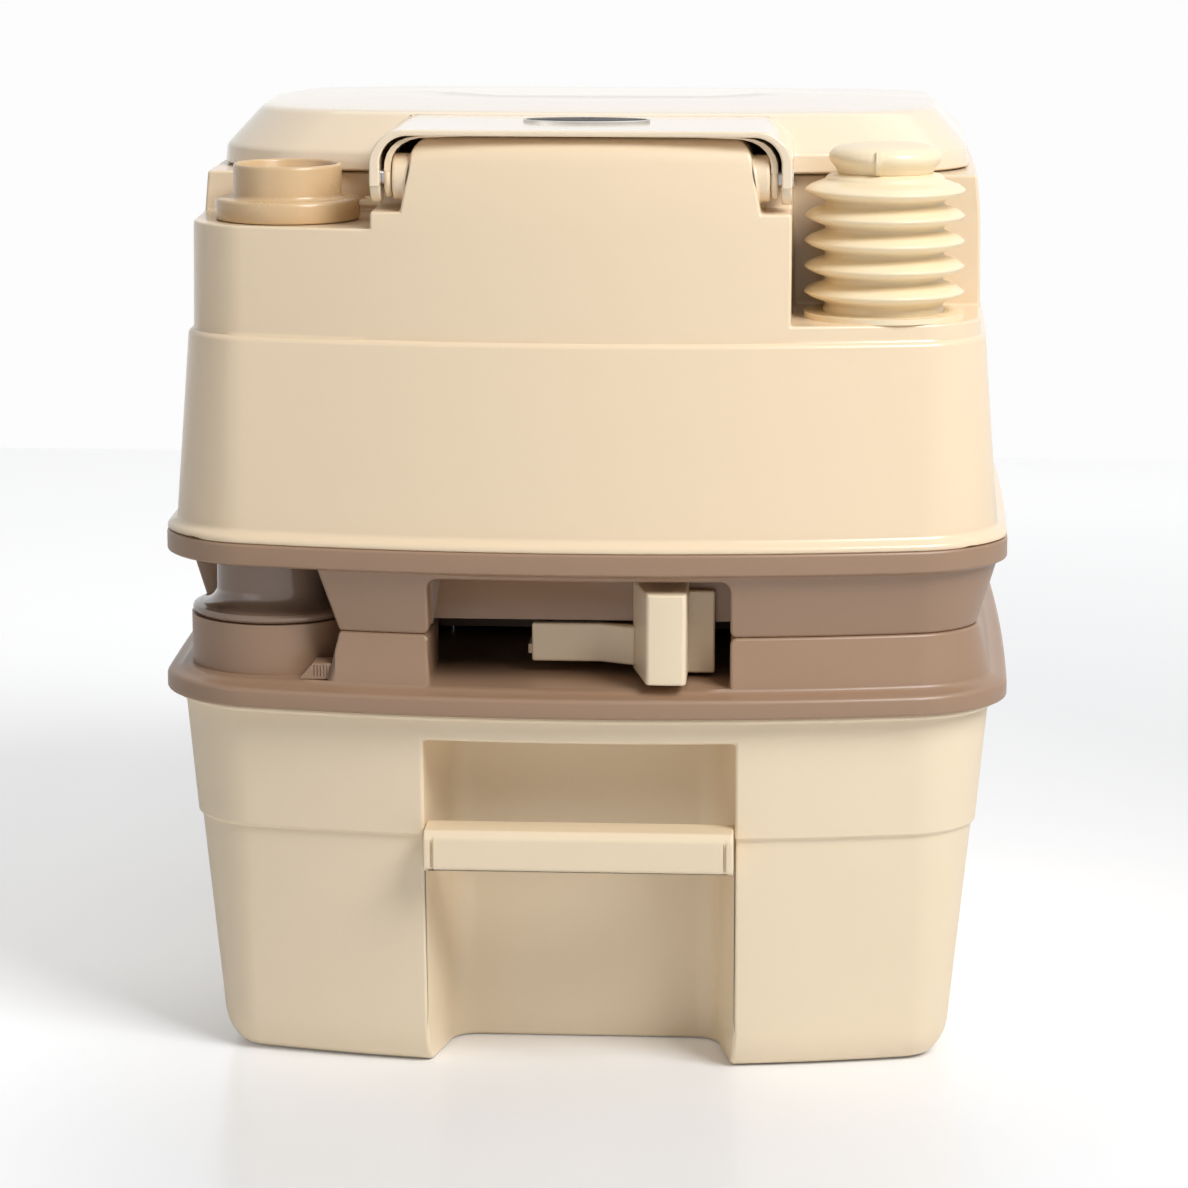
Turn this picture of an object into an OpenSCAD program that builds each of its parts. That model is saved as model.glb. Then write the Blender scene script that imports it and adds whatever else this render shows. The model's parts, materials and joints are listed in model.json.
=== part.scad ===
// Portable toilet in two sections: a waste tank with slide valve and pour-out spout,
// and a flush tank with bowl, seat, lid, filling cap and bellows pump.
// Millimetres. X runs across, -Y is the service side with the hinge, Z is up.
// The origin is on the floor, in the middle of the footprint.

/* [Footprint] */
// Width over the brown base flange
body_w = 374; // [360:1:390]
// Depth over the brown base flange
body_d = 420; // [405:1:435]
// Corner radius of the flanges
corner_r = 38.5; // [34:0.5:46]
// How far the ends fall back towards the corners
end_sag = 25.2; // [20:0.2:30]
// How far the sides fall back towards the corners
side_sag = 3.5; // [2:0.5:9]

/* [Heights] */
// Height of the waste tank under its cover
waste_h = 164; // [150:1:180]
// Thickness of the cover's flange
cover_flange_t = 9; // [8:0.1:10]
// Deck of the cover above the waste tank
deck_up = 12; // [11:0.5:14]
// Height of the cover's raised rim above its deck
rim_h = 21.5; // [20:0.5:24]
// Height of the skirt below the base flange
skirt_h = 28.5; // [27:0.5:30]
// Thickness of the base flange
base_flange_t = 10; // [9:0.5:12]
// Free height under the flush tank's floor
floor_up = 26; // [25:0.5:30]
// Step line of the flush tank above its lower edge
step_up = 88; // [80:1:92]
// Floor of the pump well above the lower edge
well_up = 95.5; // [95:0.5:98]
// Filling deck above the lower edge
fill_up = 135.5; // [134:0.5:138]
// Seat deck above the lower edge
seat_deck_up = 153; // [152:0.5:156]
// Top of the hinge hump above the seat deck
hump_up = 21.4; // [20:0.2:22]

/* [Walls] */
// Wall of the two tanks
wall = 3; // [2.5:0.1:3.6]
// Wall of the brown cover and base
frame_wall = 3; // [2.5:0.1:3.5]
// Wall of the bowl
bowl_wall = 2.5; // [2:0.1:3]
// Wall of the lid
lid_wall = 2.5; // [2:0.1:3]

/* [Hand recess] */
// Width of the recess in the waste tank
recess_w = 135; // [125:1:145]
// Height of the recess
recess_h = 151; // [140:1:154]
// Depth of the recess from the flange
recess_depth = 73; // [64:1:78]
// Height of the carrying handle's lower edge
grip_z = 94.5; // [90:0.5:100]
// Height of the carrying handle
grip_h = 18; // [16:0.5:22]
// Depth of the carrying handle
grip_d = 20; // [17:0.5:24]
// Radius of the carrying handle's end pegs
grip_peg_r = 4; // [3:0.1:5]
// Side gap between carrying handle and recess
grip_gap = 1.6; // [1:0.1:2]

/* [Slide valve] */
// Width of the opening for the valve handle
mouth_w = 130; // [126:1:140]
// Height from the mating line to the opening's top
mouth_up = 25.4; // [24:0.2:26]
// Depth of the base's pocket behind the opening
pocket_d = 36; // [33:1:37]
// Radius of the valve's bore
valve_r = 43; // [38:0.5:45]
// Centre of the valve's bore along Y
valve_y = 20; // [15:1:25]
// Width of the blade
blade_w = 120; // [114:1:122]
// Thickness of the blade
blade_t = 4; // [3:0.2:5]
// Height of the blade above the deck
blade_up = 7.5; // [6:0.5:8]
// Running gap round the blade
blade_gap = 0.3; // [0.2:0.05:0.5]
// Height of the grip fin
fin_h = 39.5; // [36:0.5:42]
// Width of the grip fin
fin_w = 17.5; // [15:0.5:20]
// Distance of the grip fin's outer face from the middle
fin_x = 46.5; // [42:0.5:50]

/* [Pour-out spout] */
// Distance of the spout's axis from the flange's side
spout_in_x = 49.5; // [48.5:0.5:51.5]
// Distance of the spout's axis from the flange's end
spout_in_y = 63.5; // [63:0.5:66]
// Outer radius of the collar
collar_r = 37.2; // [36:0.1:37.6]
// Height of the collar
collar_h = 22; // [21:0.2:23]
// Radius of the spout's foot in the collar
spigot_r = 29.7; // [28.5:0.1:30]
// Radius of the spout's tube
spout_r = 26; // [24:0.2:26]
// Wall of the spout
spout_wall = 2.6; // [2:0.1:3]
// Height of the spout's level run above the mating line
spout_up = 33; // [32:0.5:33.5]
// Reach of the spout's mouth from its axis
spout_reach = 68; // [62:1:72]
// Length of the spout's cap
spout_cap_l = 16; // [14:0.5:18]

/* [Hinge] */
// Distance of the hinge axis from the flange's end
hinge_in = 32; // [31:0.5:33]
// Hinge axis above the seat deck
hinge_up = 4; // [3.5:0.1:4.5]
// Radius of the hinge pins
pin_r = 4; // [3:0.1:4.5]
// Distance of the hinge tower from the flange's side
tower_in = 97.5; // [95.5:0.5:98.5]
// Width of the ledge beside the hinge hump
ledge_w = 13; // [12.5:0.5:15]
// Thickness of a lid arm
lid_arm_t = 4.5; // [3.5:0.1:5]
// Thickness of a seat arm
seat_arm_t = 3; // [2.5:0.1:3.4]
// Radius of a lid arm's end
lid_arm_r = 11; // [9.5:0.1:11.5]

/* [Seat and lid] */
// Height of the seat's underside above the deck
seat_lift = 3; // [2.6:0.1:3.4]
// Thickness of the seat
seat_t = 11; // [9:0.2:12]
// Distance of the seat's side from the flange's side
seat_in = 27.5; // [26.5:0.5:37]
// Distance of the lid's side from the flange's side
lid_in = 17.5; // [16.5:0.5:19.5]
// Height of the lid over the seat deck
lid_h = 27.6; // [27:0.2:29]
// Distance of the bowl's opening from the flange's side
bowl_in_x = 82.5; // [80.5:0.5:92]
// Half of the flange's depth that the bowl's opening leaves free
bowl_in_y = 78; // [76:0.5:90]
// Centre of the bowl's opening along Y
bowl_y = 35; // [32:1:38]

/* [Filling cap] */
// Distance of the cap's axis from the flange's side
fill_in_x = 57; // [54.5:0.5:58]
// Distance of the cap's axis from the flange's end
fill_in_y = 64; // [61:0.5:65]
// Radius of the cap's disc
cap_r = 31.5; // [30:0.5:33]
// Height of the cap's disc
cap_disc_h = 9.6; // [9:0.2:11]
// Radius of the cap's cup
cup_r = 23.5; // [21:0.5:24]
// Height of the cup over the disc
cup_h = 14.6; // [13:0.2:17]
// Wall of the cup
cup_wall = 2.4; // [2:0.1:3]

/* [Pump] */
// Distance of the pump's axis from the flange's side
pump_in_x = 57.8; // [57:0.2:58.8]
// Distance of the pump's axis from the flange's end
pump_in_y = 61; // [58:0.2:61.4]
// Number of folds of the bellows
fold_n = 5; // [4:1:6]
// Height of one fold
fold_p = 10.93; // [10.5:0.01:11.2]
// Radius of a fold's crest
crest_r = 34.5; // [33.5:0.1:35]
// Radius of a fold's root
root_r = 25.9; // [25:0.1:27]
// Wall of the bellows
bellows_t = 1.6; // [1.4:0.1:1.8]
// Widest radius of the knob
knob_r = 24.4; // [23:0.1:25]

/* [Hidden] */
$fn = 64;

cream = [0.93, 0.85, 0.70];
pale_cream = [0.94, 0.88, 0.74];
warm_cream = [0.92, 0.80, 0.58];
brown = [0.62, 0.50, 0.43];
rubber = [0.12, 0.12, 0.12];
steel = [0.75, 0.75, 0.76];

// Small sizes that many pieces share
eps = 0.01;
big = 600;
seat_gap = 0.3;
run_gap = 0.05;
corner_n = 6;
edge_n = 6;

// Half sizes of the base flange and heights of the main levels
half_w = body_w / 2;
half_d = body_d / 2;
seat_w = body_w - 2 * seat_in;
lid_w = body_w - 2 * lid_in;
bowl_w = body_w - 2 * bowl_in_x;
bowl_d = body_d - 2 * bowl_in_y;
deck_z = waste_h + deck_up;
mate_z = deck_z + rim_h;
flange_z = mate_z + skirt_h;
shell_z = flange_z + base_flange_t;
floor_z = shell_z + floor_up;
well_z = shell_z + well_up;
fill_z = shell_z + fill_up;
seat_deck_z = shell_z + seat_deck_up;
hump_z = seat_deck_z + hump_up;
hinge_z = seat_deck_z + hinge_up;
ledge_z = hinge_z - lid_arm_r - 3;

// Axes of the spout, the filling cap, the pump and the hinge
spout_x = half_w - spout_in_x;
spout_y = half_d - spout_in_y;
fill_x = half_w - fill_in_x;
fill_y = half_d - fill_in_y;
pump_x = half_w - pump_in_x;
pump_y = half_d - pump_in_y;
hinge_y = half_d - hinge_in;

// Edges of the hinge tower and of the cut corners
tower_x = half_w - tower_in;
hump_x = tower_x - ledge_w;
corner_y = pump_y - crest_r - 2.5;
ledge_y = hinge_y - lid_arm_r - 7;

// Planes of the alcove for the spout
alcove_y = spout_y - 29.5;
alcove_low_x = spout_x - collar_r + 9;
alcove_mid_x = alcove_low_x - 5.1;
alcove_top_x = alcove_low_x + 4;

// A ring of points round a rectangle with round corners, counter-clockwise
function corner_at(q, cx, cy) = [(q == 0 || q == 3 ? 1 : -1) * cx, (q < 2 ? 1 : -1) * cy];
function round_ring(hw, hd, r) = [
    for (q = [0:3]) each concat(
        [for (i = [0:corner_n]) corner_at(q, hw - r, hd - r)
            + r * [cos(90 * (q + i / corner_n)), sin(90 * (q + i / corner_n))]],
        let (a = corner_at(q, hw - r, hd - r) + r * [cos(90 * (q + 1)), sin(90 * (q + 1))],
            b = corner_at((q + 1) % 4, hw - r, hd - r) + r * [cos(90 * (q + 1)), sin(90 * (q + 1))])
        [for (k = [1:edge_n - 1]) a + (b - a) * k / edge_n])];

// The same ring with its ends and sides bowed, as the object's plan is
function plan(hw, hd, r, yc = 0) = [
    for (p = round_ring(hw, hd, r))
        [p[0] * (1 - side_sag / half_w * pow(p[1] / hd, 2)),
         p[1] * (1 - end_sag / half_d * pow(p[0] / hw, 2)) + yc]];

// An oval of points
function oval(a, b, yc) = [for (i = [0:47]) [a * cos(7.5 * i), yc + b * sin(7.5 * i)]];

// A solid through rings of equally many points, each ring [height, points], from low to high
module loft(rings) {
    n = len(rings[0][1]);
    m = len(rings);
    polyhedron(
        points = [for (r = rings) for (p = r[1]) [p[0], p[1], r[0]]],
        faces = concat(
            [[for (i = [0:n - 1]) i]],
            [for (j = [0:m - 2]) for (i = [0:n - 1])
                let (a = j * n + i, b = j * n + (i + 1) % n) each [[a, a + n, b + n], [a, b + n, b]]],
            [[for (i = [n - 1:-1:0]) (m - 1) * n + i]]));
}

// Plan outline inset from the base flange by dx across and dy along
function inset(z, dx, dy) = [z, plan(half_w - dx, half_d - dy, max(corner_r - dx, 8))];

module tube(r_out, r_in, h) {
    difference() {
        cylinder(r = r_out, h = h);
        translate([0, 0, -1]) cylinder(r = r_in, h = h + 2);
    }
}

// Bar through an outline in X and Z, between two Y planes
module along_y(y0, y1) {
    translate([0, y1, 0]) rotate([90, 0, 0]) linear_extrude(y1 - y0) children();
}

// Bar through an outline in Y and Z, between two X planes
module along_x(x0, x1) {
    translate([x0, 0, 0]) rotate([90, 0, 90]) linear_extrude(x1 - x0) children();
}

// Box between two corners
module block(low, high) {
    translate(low) cube(high - low);
}

// WASTE TANK SECTION

// Outer form of the lower tub, t inside its surface
module tub_form(t, z_low, z_high) {
    foot = max(t, 0);
    loft([
        inset(z_low, 38.5 + t, 33 + t),
        inset(z_low + 3, 29.5 + t, 28 + t),
        inset(z_low + 8, 24.5 + t, 25 + t),
        inset(z_low + 15, 22 + t, 23 + t),
        inset(z_low + 25, 21.2 + t, 22.2 + t),
        inset(waste_h - 57, 13.3 + t, 14.2 + t),
        inset(waste_h - 55, 11.6 + t, 12.5 + t),
        inset(waste_h - 4, 7 + t, 8 + t),
        inset(z_high, 7 + t - (foot > 0 ? 0 : 3.5), 8 + t - (foot > 0 ? 0 : 3.5))]);
}

// Outline of the hand recess seen from above, grown by g
module recess_plan(g) {
    half = recess_w / 2 + g;
    back = -half_d + recess_depth + g;
    slope = 7;
    r = 12;
    straight = grip_d + 7;
    polygon(concat(
        [[-half, -half_d - 30], [half, -half_d - 30], [half, -half_d + straight]],
        [for (i = [0:6]) [half - slope - r + r * cos(15 * i), back - r + r * sin(15 * i)]],
        [for (i = [6:-1:0]) [-half + slope + r - r * cos(15 * i), back - r + r * sin(15 * i)]],
        [[-half, -half_d + straight]]));
}

module recess(g) {
    translate([0, 0, -5]) linear_extrude(recess_h + 5 + g) recess_plan(g);
}

module waste_tank() color(pale_cream) {
    difference() {
        tub_form(0, 0, waste_h);
        difference() {
            tub_form(wall, wall, waste_h + 5);
            recess(wall);
        }
        recess(0);
        for (s = [-1, 1]) translate([s * recess_w / 2, -half_d + 15.5, grip_z + grip_h / 2])
            rotate([0, 90, 0]) cylinder(r = grip_peg_r, h = 2 * wall + 2, center = true);
    }
}

module carry_handle() color(pale_cream) {
    half = recess_w / 2 - grip_gap;
    y0 = -half_d + 5;
    y1 = y0 + grip_d;
    lip = 2.2;
    front = 3;
    difference() {
        block([-half, y0, grip_z], [half, y1, grip_z + grip_h]);
        block([-half + 9, y0 + front, grip_z + lip], [half - 9, y1 + 1, grip_z + grip_h - lip]);
        along_x(-half - 1, half + 1) polygon([[y0 - 1, grip_z + grip_h + 1],
            [y0 + 1.8, grip_z + grip_h + 1], [y0 - 1, grip_z + grip_h - lip]]);
        along_x(-half - 1, half + 1) polygon([[y0 - 1, grip_z - 1], [y0 - 1, grip_z + 1.6],
            [y0 + 1.6, grip_z - 1]]);
    }
    for (s = [-1, 1]) translate([s * (half + grip_gap / 2 + 0.7), -half_d + 15.5, grip_z + grip_h / 2])
        rotate([0, 90, 0]) cylinder(r = grip_peg_r, h = grip_gap + 2.4, center = true);
}

// Left-hand face of the raised block beside the alcove, in X and Z
module alcove_side_low() {
    polygon([[-big, deck_z], [-alcove_low_x, deck_z], [-alcove_mid_x, mate_z], [-alcove_mid_x, mate_z + 9],
        [-big, mate_z + 9]]);
}

module waste_tank_cover() color(brown) {
    rim_in = frame_wall;
    difference() {
        union() {
            difference() {
                loft([
                    inset(waste_h, -0.3, -0.3),
                    inset(waste_h + 1.5, -1, -1),
                    inset(waste_h + cover_flange_t - 1.2, -1, -1),
                    inset(waste_h + cover_flange_t, 0.5, 0.5),
                    inset(deck_z - 2, 4.8, 5.2),
                    inset(deck_z, 7, 7.5),
                    inset(mate_z, 11.5, 10.7)]);
                loft([
                    inset(waste_h - 1, 8.5, 10),
                    inset(deck_z - frame_wall, 11, 12)]);
                loft([
                    inset(deck_z, 7 + rim_in, 7.5 + rim_in),
                    inset(mate_z + 1, 11.6 + rim_in, 10.8 + rim_in)]);
                along_y(-half_d - 20, -alcove_y) alcove_side_low();
                block([-mouth_w / 2, -half_d - 20, deck_z], [mouth_w / 2, -half_d + 60, mate_z + 5]);
            }
            intersection() {
                loft([inset(deck_z - 1, 7, 7.5), inset(mate_z, 11.5, 10.7)]);
                union() {
                    for (s = [-1, 1])
                        block([s * (mouth_w / 2 + frame_wall / 2) - frame_wall / 2, -half_d, deck_z - 1],
                            [s * (mouth_w / 2 + frame_wall / 2) + frame_wall / 2, -half_d + 60, mate_z]);
                    along_y(-half_d, -half_d + 50) polygon([
                        [-alcove_low_x, deck_z - 1], [-alcove_low_x + frame_wall, deck_z - 1],
                        [-alcove_mid_x + frame_wall, mate_z], [-alcove_mid_x, mate_z]]);
                }
            }
        }
        translate([0, valve_y, deck_z - 10]) cylinder(r = valve_r, h = 30);
        translate([-spout_x, -spout_y, deck_z - 10]) cylinder(r = spigot_r - 4, h = 30);
        translate([-spout_x, -spout_y, deck_z]) cylinder(r = collar_r + seat_gap, h = 60);
        for (p = screw_spots()) translate([p[0], p[1], deck_z - 10]) cylinder(r = 1.8, h = 30);
        block([-alcove_low_x - 20, latch_y0 - seat_gap, deck_z],
            [-alcove_low_x + 8, latch_y1 + seat_gap, deck_z + 7.6]);
    }
}

// VALVE

housing_half = blade_w / 2 + 12;
housing_front = 2 * valve_r + 6;
housing_back = valve_r + 19;
blade_z = deck_z + blade_up;
housing_top = blade_z + blade_t + 7;

function screw_spots() = [
    for (sx = [-1, 1]) for (y = [9 - housing_front, housing_back - 6])
        [sx * (housing_half - 5.5), valve_y + y]];

module valve_housing() color(brown) {
    difference() {
        block([-housing_half, valve_y - housing_front, deck_z],
            [housing_half, valve_y + housing_back, housing_top]);
        block([-blade_w / 2 - blade_gap, valve_y - housing_front - 3, blade_z - blade_gap],
            [blade_w / 2 + blade_gap, valve_y + housing_back - 10, blade_z + blade_t + blade_gap]);
        translate([0, valve_y, deck_z - 1]) cylinder(r = valve_r, h = 60);
        translate([0, valve_y, blade_z]) cylinder(r = valve_r + 7, h = 60);
        translate([0, valve_y, deck_z + 2.2]) cylinder(r = valve_r + 7, h = blade_up);
        for (p = screw_spots()) translate([p[0], p[1], deck_z - 1]) cylinder(r = 1.8, h = 60);
    }
}

module housing_screws() color(steel) {
    for (p = screw_spots()) translate([p[0], p[1], 0]) {
        translate([0, 0, deck_z - 6]) cylinder(r = 1.8, h = housing_top - deck_z + 6);
        translate([0, 0, housing_top]) cylinder(r = 3.6, h = 2.2);
    }
}

module lip_seal() color(rubber) {
    low = blade_z + blade_t + blade_gap;
    translate([0, valve_y, low]) tube(valve_r + 7, valve_r, mate_z - seat_gap - low);
}

module lower_seal() color(rubber) {
    translate([0, valve_y, deck_z + 2.2]) tube(valve_r + 7, valve_r, blade_up - 2.2 - blade_gap);
}

grip_y = -half_d + 2;
arm_y = -half_d + 45;

module valve_blade() color(pale_cream) {
    difference() {
        union() {
            block([-blade_w / 2, valve_y - valve_r - 67, blade_z],
                [blade_w / 2, valve_y + valve_r + 7, blade_z + blade_t]);
            block([-24, arm_y, blade_z], [24, valve_y - valve_r, blade_z + blade_t]);
        }
        for (sx = [-1, 1]) translate([sx * 10, arm_y + 12, blade_z - 1]) cylinder(r = 2, h = 20);
    }
}

module valve_handle() color(cream) {
    low = deck_z + 2.8;
    plate_y = -half_d + 34;
    bend_x = fin_x - 2 * fin_w - 1;
    // Grip fin, wider at its root
    translate([0, 0, low]) linear_extrude(fin_h) polygon([
        [fin_x - fin_w + 1.5, grip_y], [fin_x - 1.5, grip_y], [fin_x, grip_y + 1.5],
        [fin_x, plate_y + 3.4], [fin_x - fin_w - 7, plate_y + 3.4], [fin_x - fin_w, grip_y + 1.5]]);
    // Tall plate beside the fin
    block([fin_x - 1, plate_y, low - 1], [fin_x + 11.4, plate_y + 3.4, low + fin_h - 4]);
    // Low arm that bends back to the blade
    translate([0, 0, low + 2.6]) linear_extrude(17) polygon([
        [fin_x - fin_w - 6, plate_y - 3], [fin_x - fin_w - 4, plate_y + 3.4],
        [bend_x, arm_y - 3.2], [bend_x, arm_y], [-22, arm_y], [-22, arm_y - 7],
        [bend_x - 3, arm_y - 7]]);
    // Foot that is screwed onto the blade
    difference() {
        block([-22, arm_y - 3, blade_z + blade_t], [22, arm_y + 20, blade_z + blade_t + 2.4]);
        for (sx = [-1, 1]) translate([sx * 10, arm_y + 12, blade_z]) cylinder(r = 2, h = 20);
    }
}

module handle_screws() color(steel) {
    for (sx = [-1, 1]) translate([sx * 10, arm_y + 12, 0]) {
        translate([0, 0, blade_z + 0.2]) cylinder(r = 2, h = blade_t + 2.2);
        translate([0, 0, blade_z + blade_t + 2.4]) cylinder(r = 3.6, h = 1.8);
    }
}

// LATCH

latch_w = 13;
latch_y0 = -half_d + 19;
latch_y1 = latch_y0 + latch_w;
latch_stem = 0.6 * (alcove_low_x - mouth_w / 2 - frame_wall);

module release_latch() color(brown) {
    face_x = -alcove_low_x;
    head = 7.2;
    rib_n = 6;
    difference() {
        along_y(latch_y0, latch_y1) polygon([
            [face_x - 12.5, deck_z + 0.3], [face_x + 1, deck_z + 0.3], [face_x + 2.7, deck_z + head],
            [face_x - 6.5, deck_z + head]]);
        for (i = [0:rib_n - 1])
            block([face_x - 6.4 + 1.4 * i, latch_y0 - 1, deck_z + 1.5],
                [face_x - 5.8 + 1.4 * i, latch_y0 + 0.5, deck_z + head - 1]);
        at_spout(deck_z - 1) cylinder(r = collar_r + seat_gap, h = 20);
    }
    block([face_x + 1 - eps, latch_y0 + 5, deck_z + 2], [face_x + latch_stem, latch_y1 - 2, deck_z + head - 1]);
    // Catch, close behind the wall of the alcove
    catch_x = -alcove_mid_x + frame_wall + seat_gap;
    block([catch_x, latch_y0 + 5, deck_z + head - 1 - eps], [catch_x + 4, latch_y1 - 2, mate_z - 1.5]);
}

module latch_spring() color(steel) {
    x0 = -alcove_low_x + latch_stem;
    x1 = -mouth_w / 2 - frame_wall;
    translate([x0 + seat_gap, (latch_y0 + latch_y1) / 2, deck_z + 5]) rotate([0, 90, 0])
        tube(2.6, 1.6, x1 - x0 - 2 * seat_gap);
}

// POUR-OUT SPOUT

spout_top_z = deck_z + collar_h;
spout_mid_z = mate_z + spout_up;
spout_in = spout_r - spout_wall;
mouth_r = spout_r - 2;

module at_spout(z = 0) {
    translate([-spout_x, -spout_y, z]) children();
}

// Turned along the spout's level run, starting at its mouth
module at_mouth(d = 0) {
    translate([-spout_x, -spout_y + spout_reach + d, spout_mid_z]) rotate([-90, 0, 0]) children();
}

module spout_collar() color(brown) {
    at_spout(deck_z) difference() {
        cylinder(r = collar_r, h = collar_h);
        translate([0, 0, -1]) cylinder(r = spigot_r - 4, h = collar_h);
        translate([0, 0, 5]) cylinder(r = spigot_r + run_gap, h = collar_h);
    }
}

module pour_spout() color(brown) {
    rim_r = collar_r - 0.4;
    low = 0.3;
    flare = 7;
    difference() {
        union() {
            at_spout(spout_top_z) rotate_extrude() polygon(concat(
                [[0, low], [rim_r - 2, low]],
                [for (i = [0:5]) [rim_r - 2 + 2 * cos(-90 + 36 * i), low + 2 + 2 * sin(-90 + 36 * i)]],
                [[spout_r + flare + 1, low + 4.4]],
                [for (i = [0:5]) [spout_r + flare * (1 - sin(18 * i)), low + 4.6 + flare * (1 - cos(18 * i))]],
                [[0, low + 5 + flare]]));
            at_spout(deck_z + 6) cylinder(r = spigot_r, h = collar_h - 4);
            at_spout(spout_top_z + 4) cylinder(r = spout_r, h = spout_mid_z - spout_top_z - 4);
            at_spout(spout_mid_z) sphere(r = spout_r);
            at_mouth(-spout_reach) cylinder(r = spout_r, h = spout_reach - 12);
            at_mouth(-13) cylinder(r = mouth_r, h = 13);
        }
        at_spout(deck_z + 5) cylinder(r = spout_in, h = spout_mid_z - deck_z - 5);
        at_spout(spout_mid_z) sphere(r = spout_in);
        at_mouth(-spout_reach) cylinder(r = spout_in, h = spout_reach - 12);
        at_mouth(-13) cylinder(r = mouth_r - spout_wall, h = 14);
        at_spout(deck_z + 10) tube(spigot_r + 1, spigot_r - 2, 3);
    }
}

module spout_seal() color(rubber) {
    at_spout(deck_z + 10) tube(spigot_r - 0.1, spigot_r - 2, 3);
}

module spout_cap_seal() color(rubber) {
    at_mouth(0) tube(mouth_r - 0.1, mouth_r - spout_wall, 1.5);
}

module spout_cap() color(brown) {
    at_mouth(1.5 - spout_cap_l + 2.5) difference() {
        union() {
            cylinder(r = mouth_r + 2.6, h = spout_cap_l);
            for (i = [0:17]) rotate([0, 0, 20 * i]) translate([mouth_r + 2.4, 0, 1])
                cylinder(r = 1.1, h = spout_cap_l - 2, $fn = 24);
        }
        translate([0, 0, -1]) cylinder(r = mouth_r + run_gap, h = spout_cap_l - 1.5);
    }
}

// UPPER SECTION

// Left-hand face of the base's alcove, in X and Z
module alcove_side_high() {
    polygon([[-big, mate_z - 1], [-alcove_mid_x, mate_z - 1], [-alcove_mid_x, mate_z],
        [-alcove_top_x, flange_z], [-big, flange_z]]);
}

module upper_base() color(brown) {
    difference() {
        union() {
            difference() {
                loft([
                    inset(mate_z, 12.6, 11.2),
                    inset(flange_z, 4, 5),
                    inset(flange_z, 1, 1),
                    inset(flange_z + 1, 0, 0),
                    inset(shell_z - 1, 0, 0),
                    inset(shell_z, 0.7, 0.7)]);
                loft([
                    inset(mate_z - 1, 16, 14.6),
                    inset(shell_z + 1, 9, 8)]);
                along_y(-half_d - 20, -alcove_y) alcove_side_high();
                block([-mouth_w / 2, -half_d - 20, mate_z - 1],
                    [mouth_w / 2, -half_d + 60, mate_z + mouth_up]);
            }
            // Pocket behind the opening, wall beside the alcove and end of the left skirt wall
            intersection() {
                loft([inset(mate_z, 12.6, 11.2), inset(flange_z, 4, 5), inset(shell_z, 4, 5)]);
                union() {
                    for (s = [-1, 1])
                        block([s * (mouth_w / 2 + frame_wall / 2) - frame_wall / 2, -half_d, mate_z],
                            [s * (mouth_w / 2 + frame_wall / 2) + frame_wall / 2, -half_d + pocket_d + 5,
                                flange_z + 2]);
                    block([-mouth_w / 2, -half_d + pocket_d + 2, mate_z + 2.5],
                        [mouth_w / 2, -half_d + pocket_d + 5, flange_z + 2]);
                    block([-mouth_w / 2, -half_d, mate_z + mouth_up],
                        [mouth_w / 2, -half_d + pocket_d + 5, flange_z + 2]);
                    along_y(-half_d, -half_d + 38) polygon([
                        [-alcove_mid_x, mate_z], [-alcove_mid_x + frame_wall, mate_z],
                        [-alcove_top_x + frame_wall, flange_z + 2], [-alcove_top_x, flange_z + 2]]);
                    along_y(-alcove_y, -alcove_y + 7) polygon([
                        [-half_w, flange_z + 2], [-half_w, mate_z], [-half_w + 19, mate_z],
                        [-half_w + 21, mate_z + 3], [-half_w + 21, flange_z + 2]]);
                }
            }
        }
        at_spout(mate_z - 1) cylinder(r = collar_r + 0.5, h = skirt_h + base_flange_t - 8);
    }
}

hump_round = 13;

// Side profile of the flush tank: height over its lower edge and distance inside the flange
shell_profile = [
    [0, 0.5], [2.4, 0.5], [3.2, 2.5], [5, 4.5], [step_up - 0.8, 11.2], [step_up + 0.8, 12.8],
    [fill_up, 14], [seat_deck_up, 15.6], [seat_deck_up + hump_up - hump_round, 17.4],
    for (i = [1:6]) [seat_deck_up + hump_up - hump_round * (1 - sin(15 * i)),
        17.4 + hump_round * (1 - cos(15 * i))]];

// Outer form of the flush tank between two heights, t inside its surface
module shell_form(t, z_low, z_high) {
    between = [for (p = shell_profile) if (shell_z + p[0] > z_low + 0.1 && shell_z + p[0] < z_high - 0.1)
        shell_z + p[0]];
    loft([for (z = concat([z_low], between, [z_high]))
        let (d = lookup(z - shell_z, shell_profile) + t) inset(z, d, d)]);
}

// What is cut from the top of the tank, g larger all round
module top_cuts(g) {
    // Corner of the filling cap and corner of the pump
    block([-big, -big, fill_z - g], [-tower_x + g, -corner_y + g, big]);
    block([tower_x - g, -big, well_z - g], [big, -corner_y + g, big]);
    // Ledges beside the hump
    for (s = [-1, 1])
        block([min(s * (hump_x - g), s * (tower_x + 9)), -big, ledge_z - g],
            [max(s * (hump_x - g), s * (tower_x + 9)), -ledge_y + g, big]);
}

// Hump between the hinges, t inside its surface
module hump(t) {
    r = 10;
    slope = 4;
    intersection() {
        shell_form(t, ledge_z - wall, hump_z - t);
        along_y(-half_d, -ledge_y + 16 - t) polygon(concat(
            [[-hump_x + t, ledge_z - 2 * wall], [hump_x - t, ledge_z - 2 * wall], [hump_x - t, ledge_z]],
            [for (i = [0:6]) [hump_x - slope - r + (r - t) * cos(15 * i), hump_z - r + (r - t) * sin(15 * i)]],
            [for (i = [6:-1:0]) [-hump_x + slope + r - (r - t) * cos(15 * i), hump_z - r + (r - t) * sin(15 * i)]],
            [[-hump_x + t, ledge_z]]));
    }
}

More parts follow.
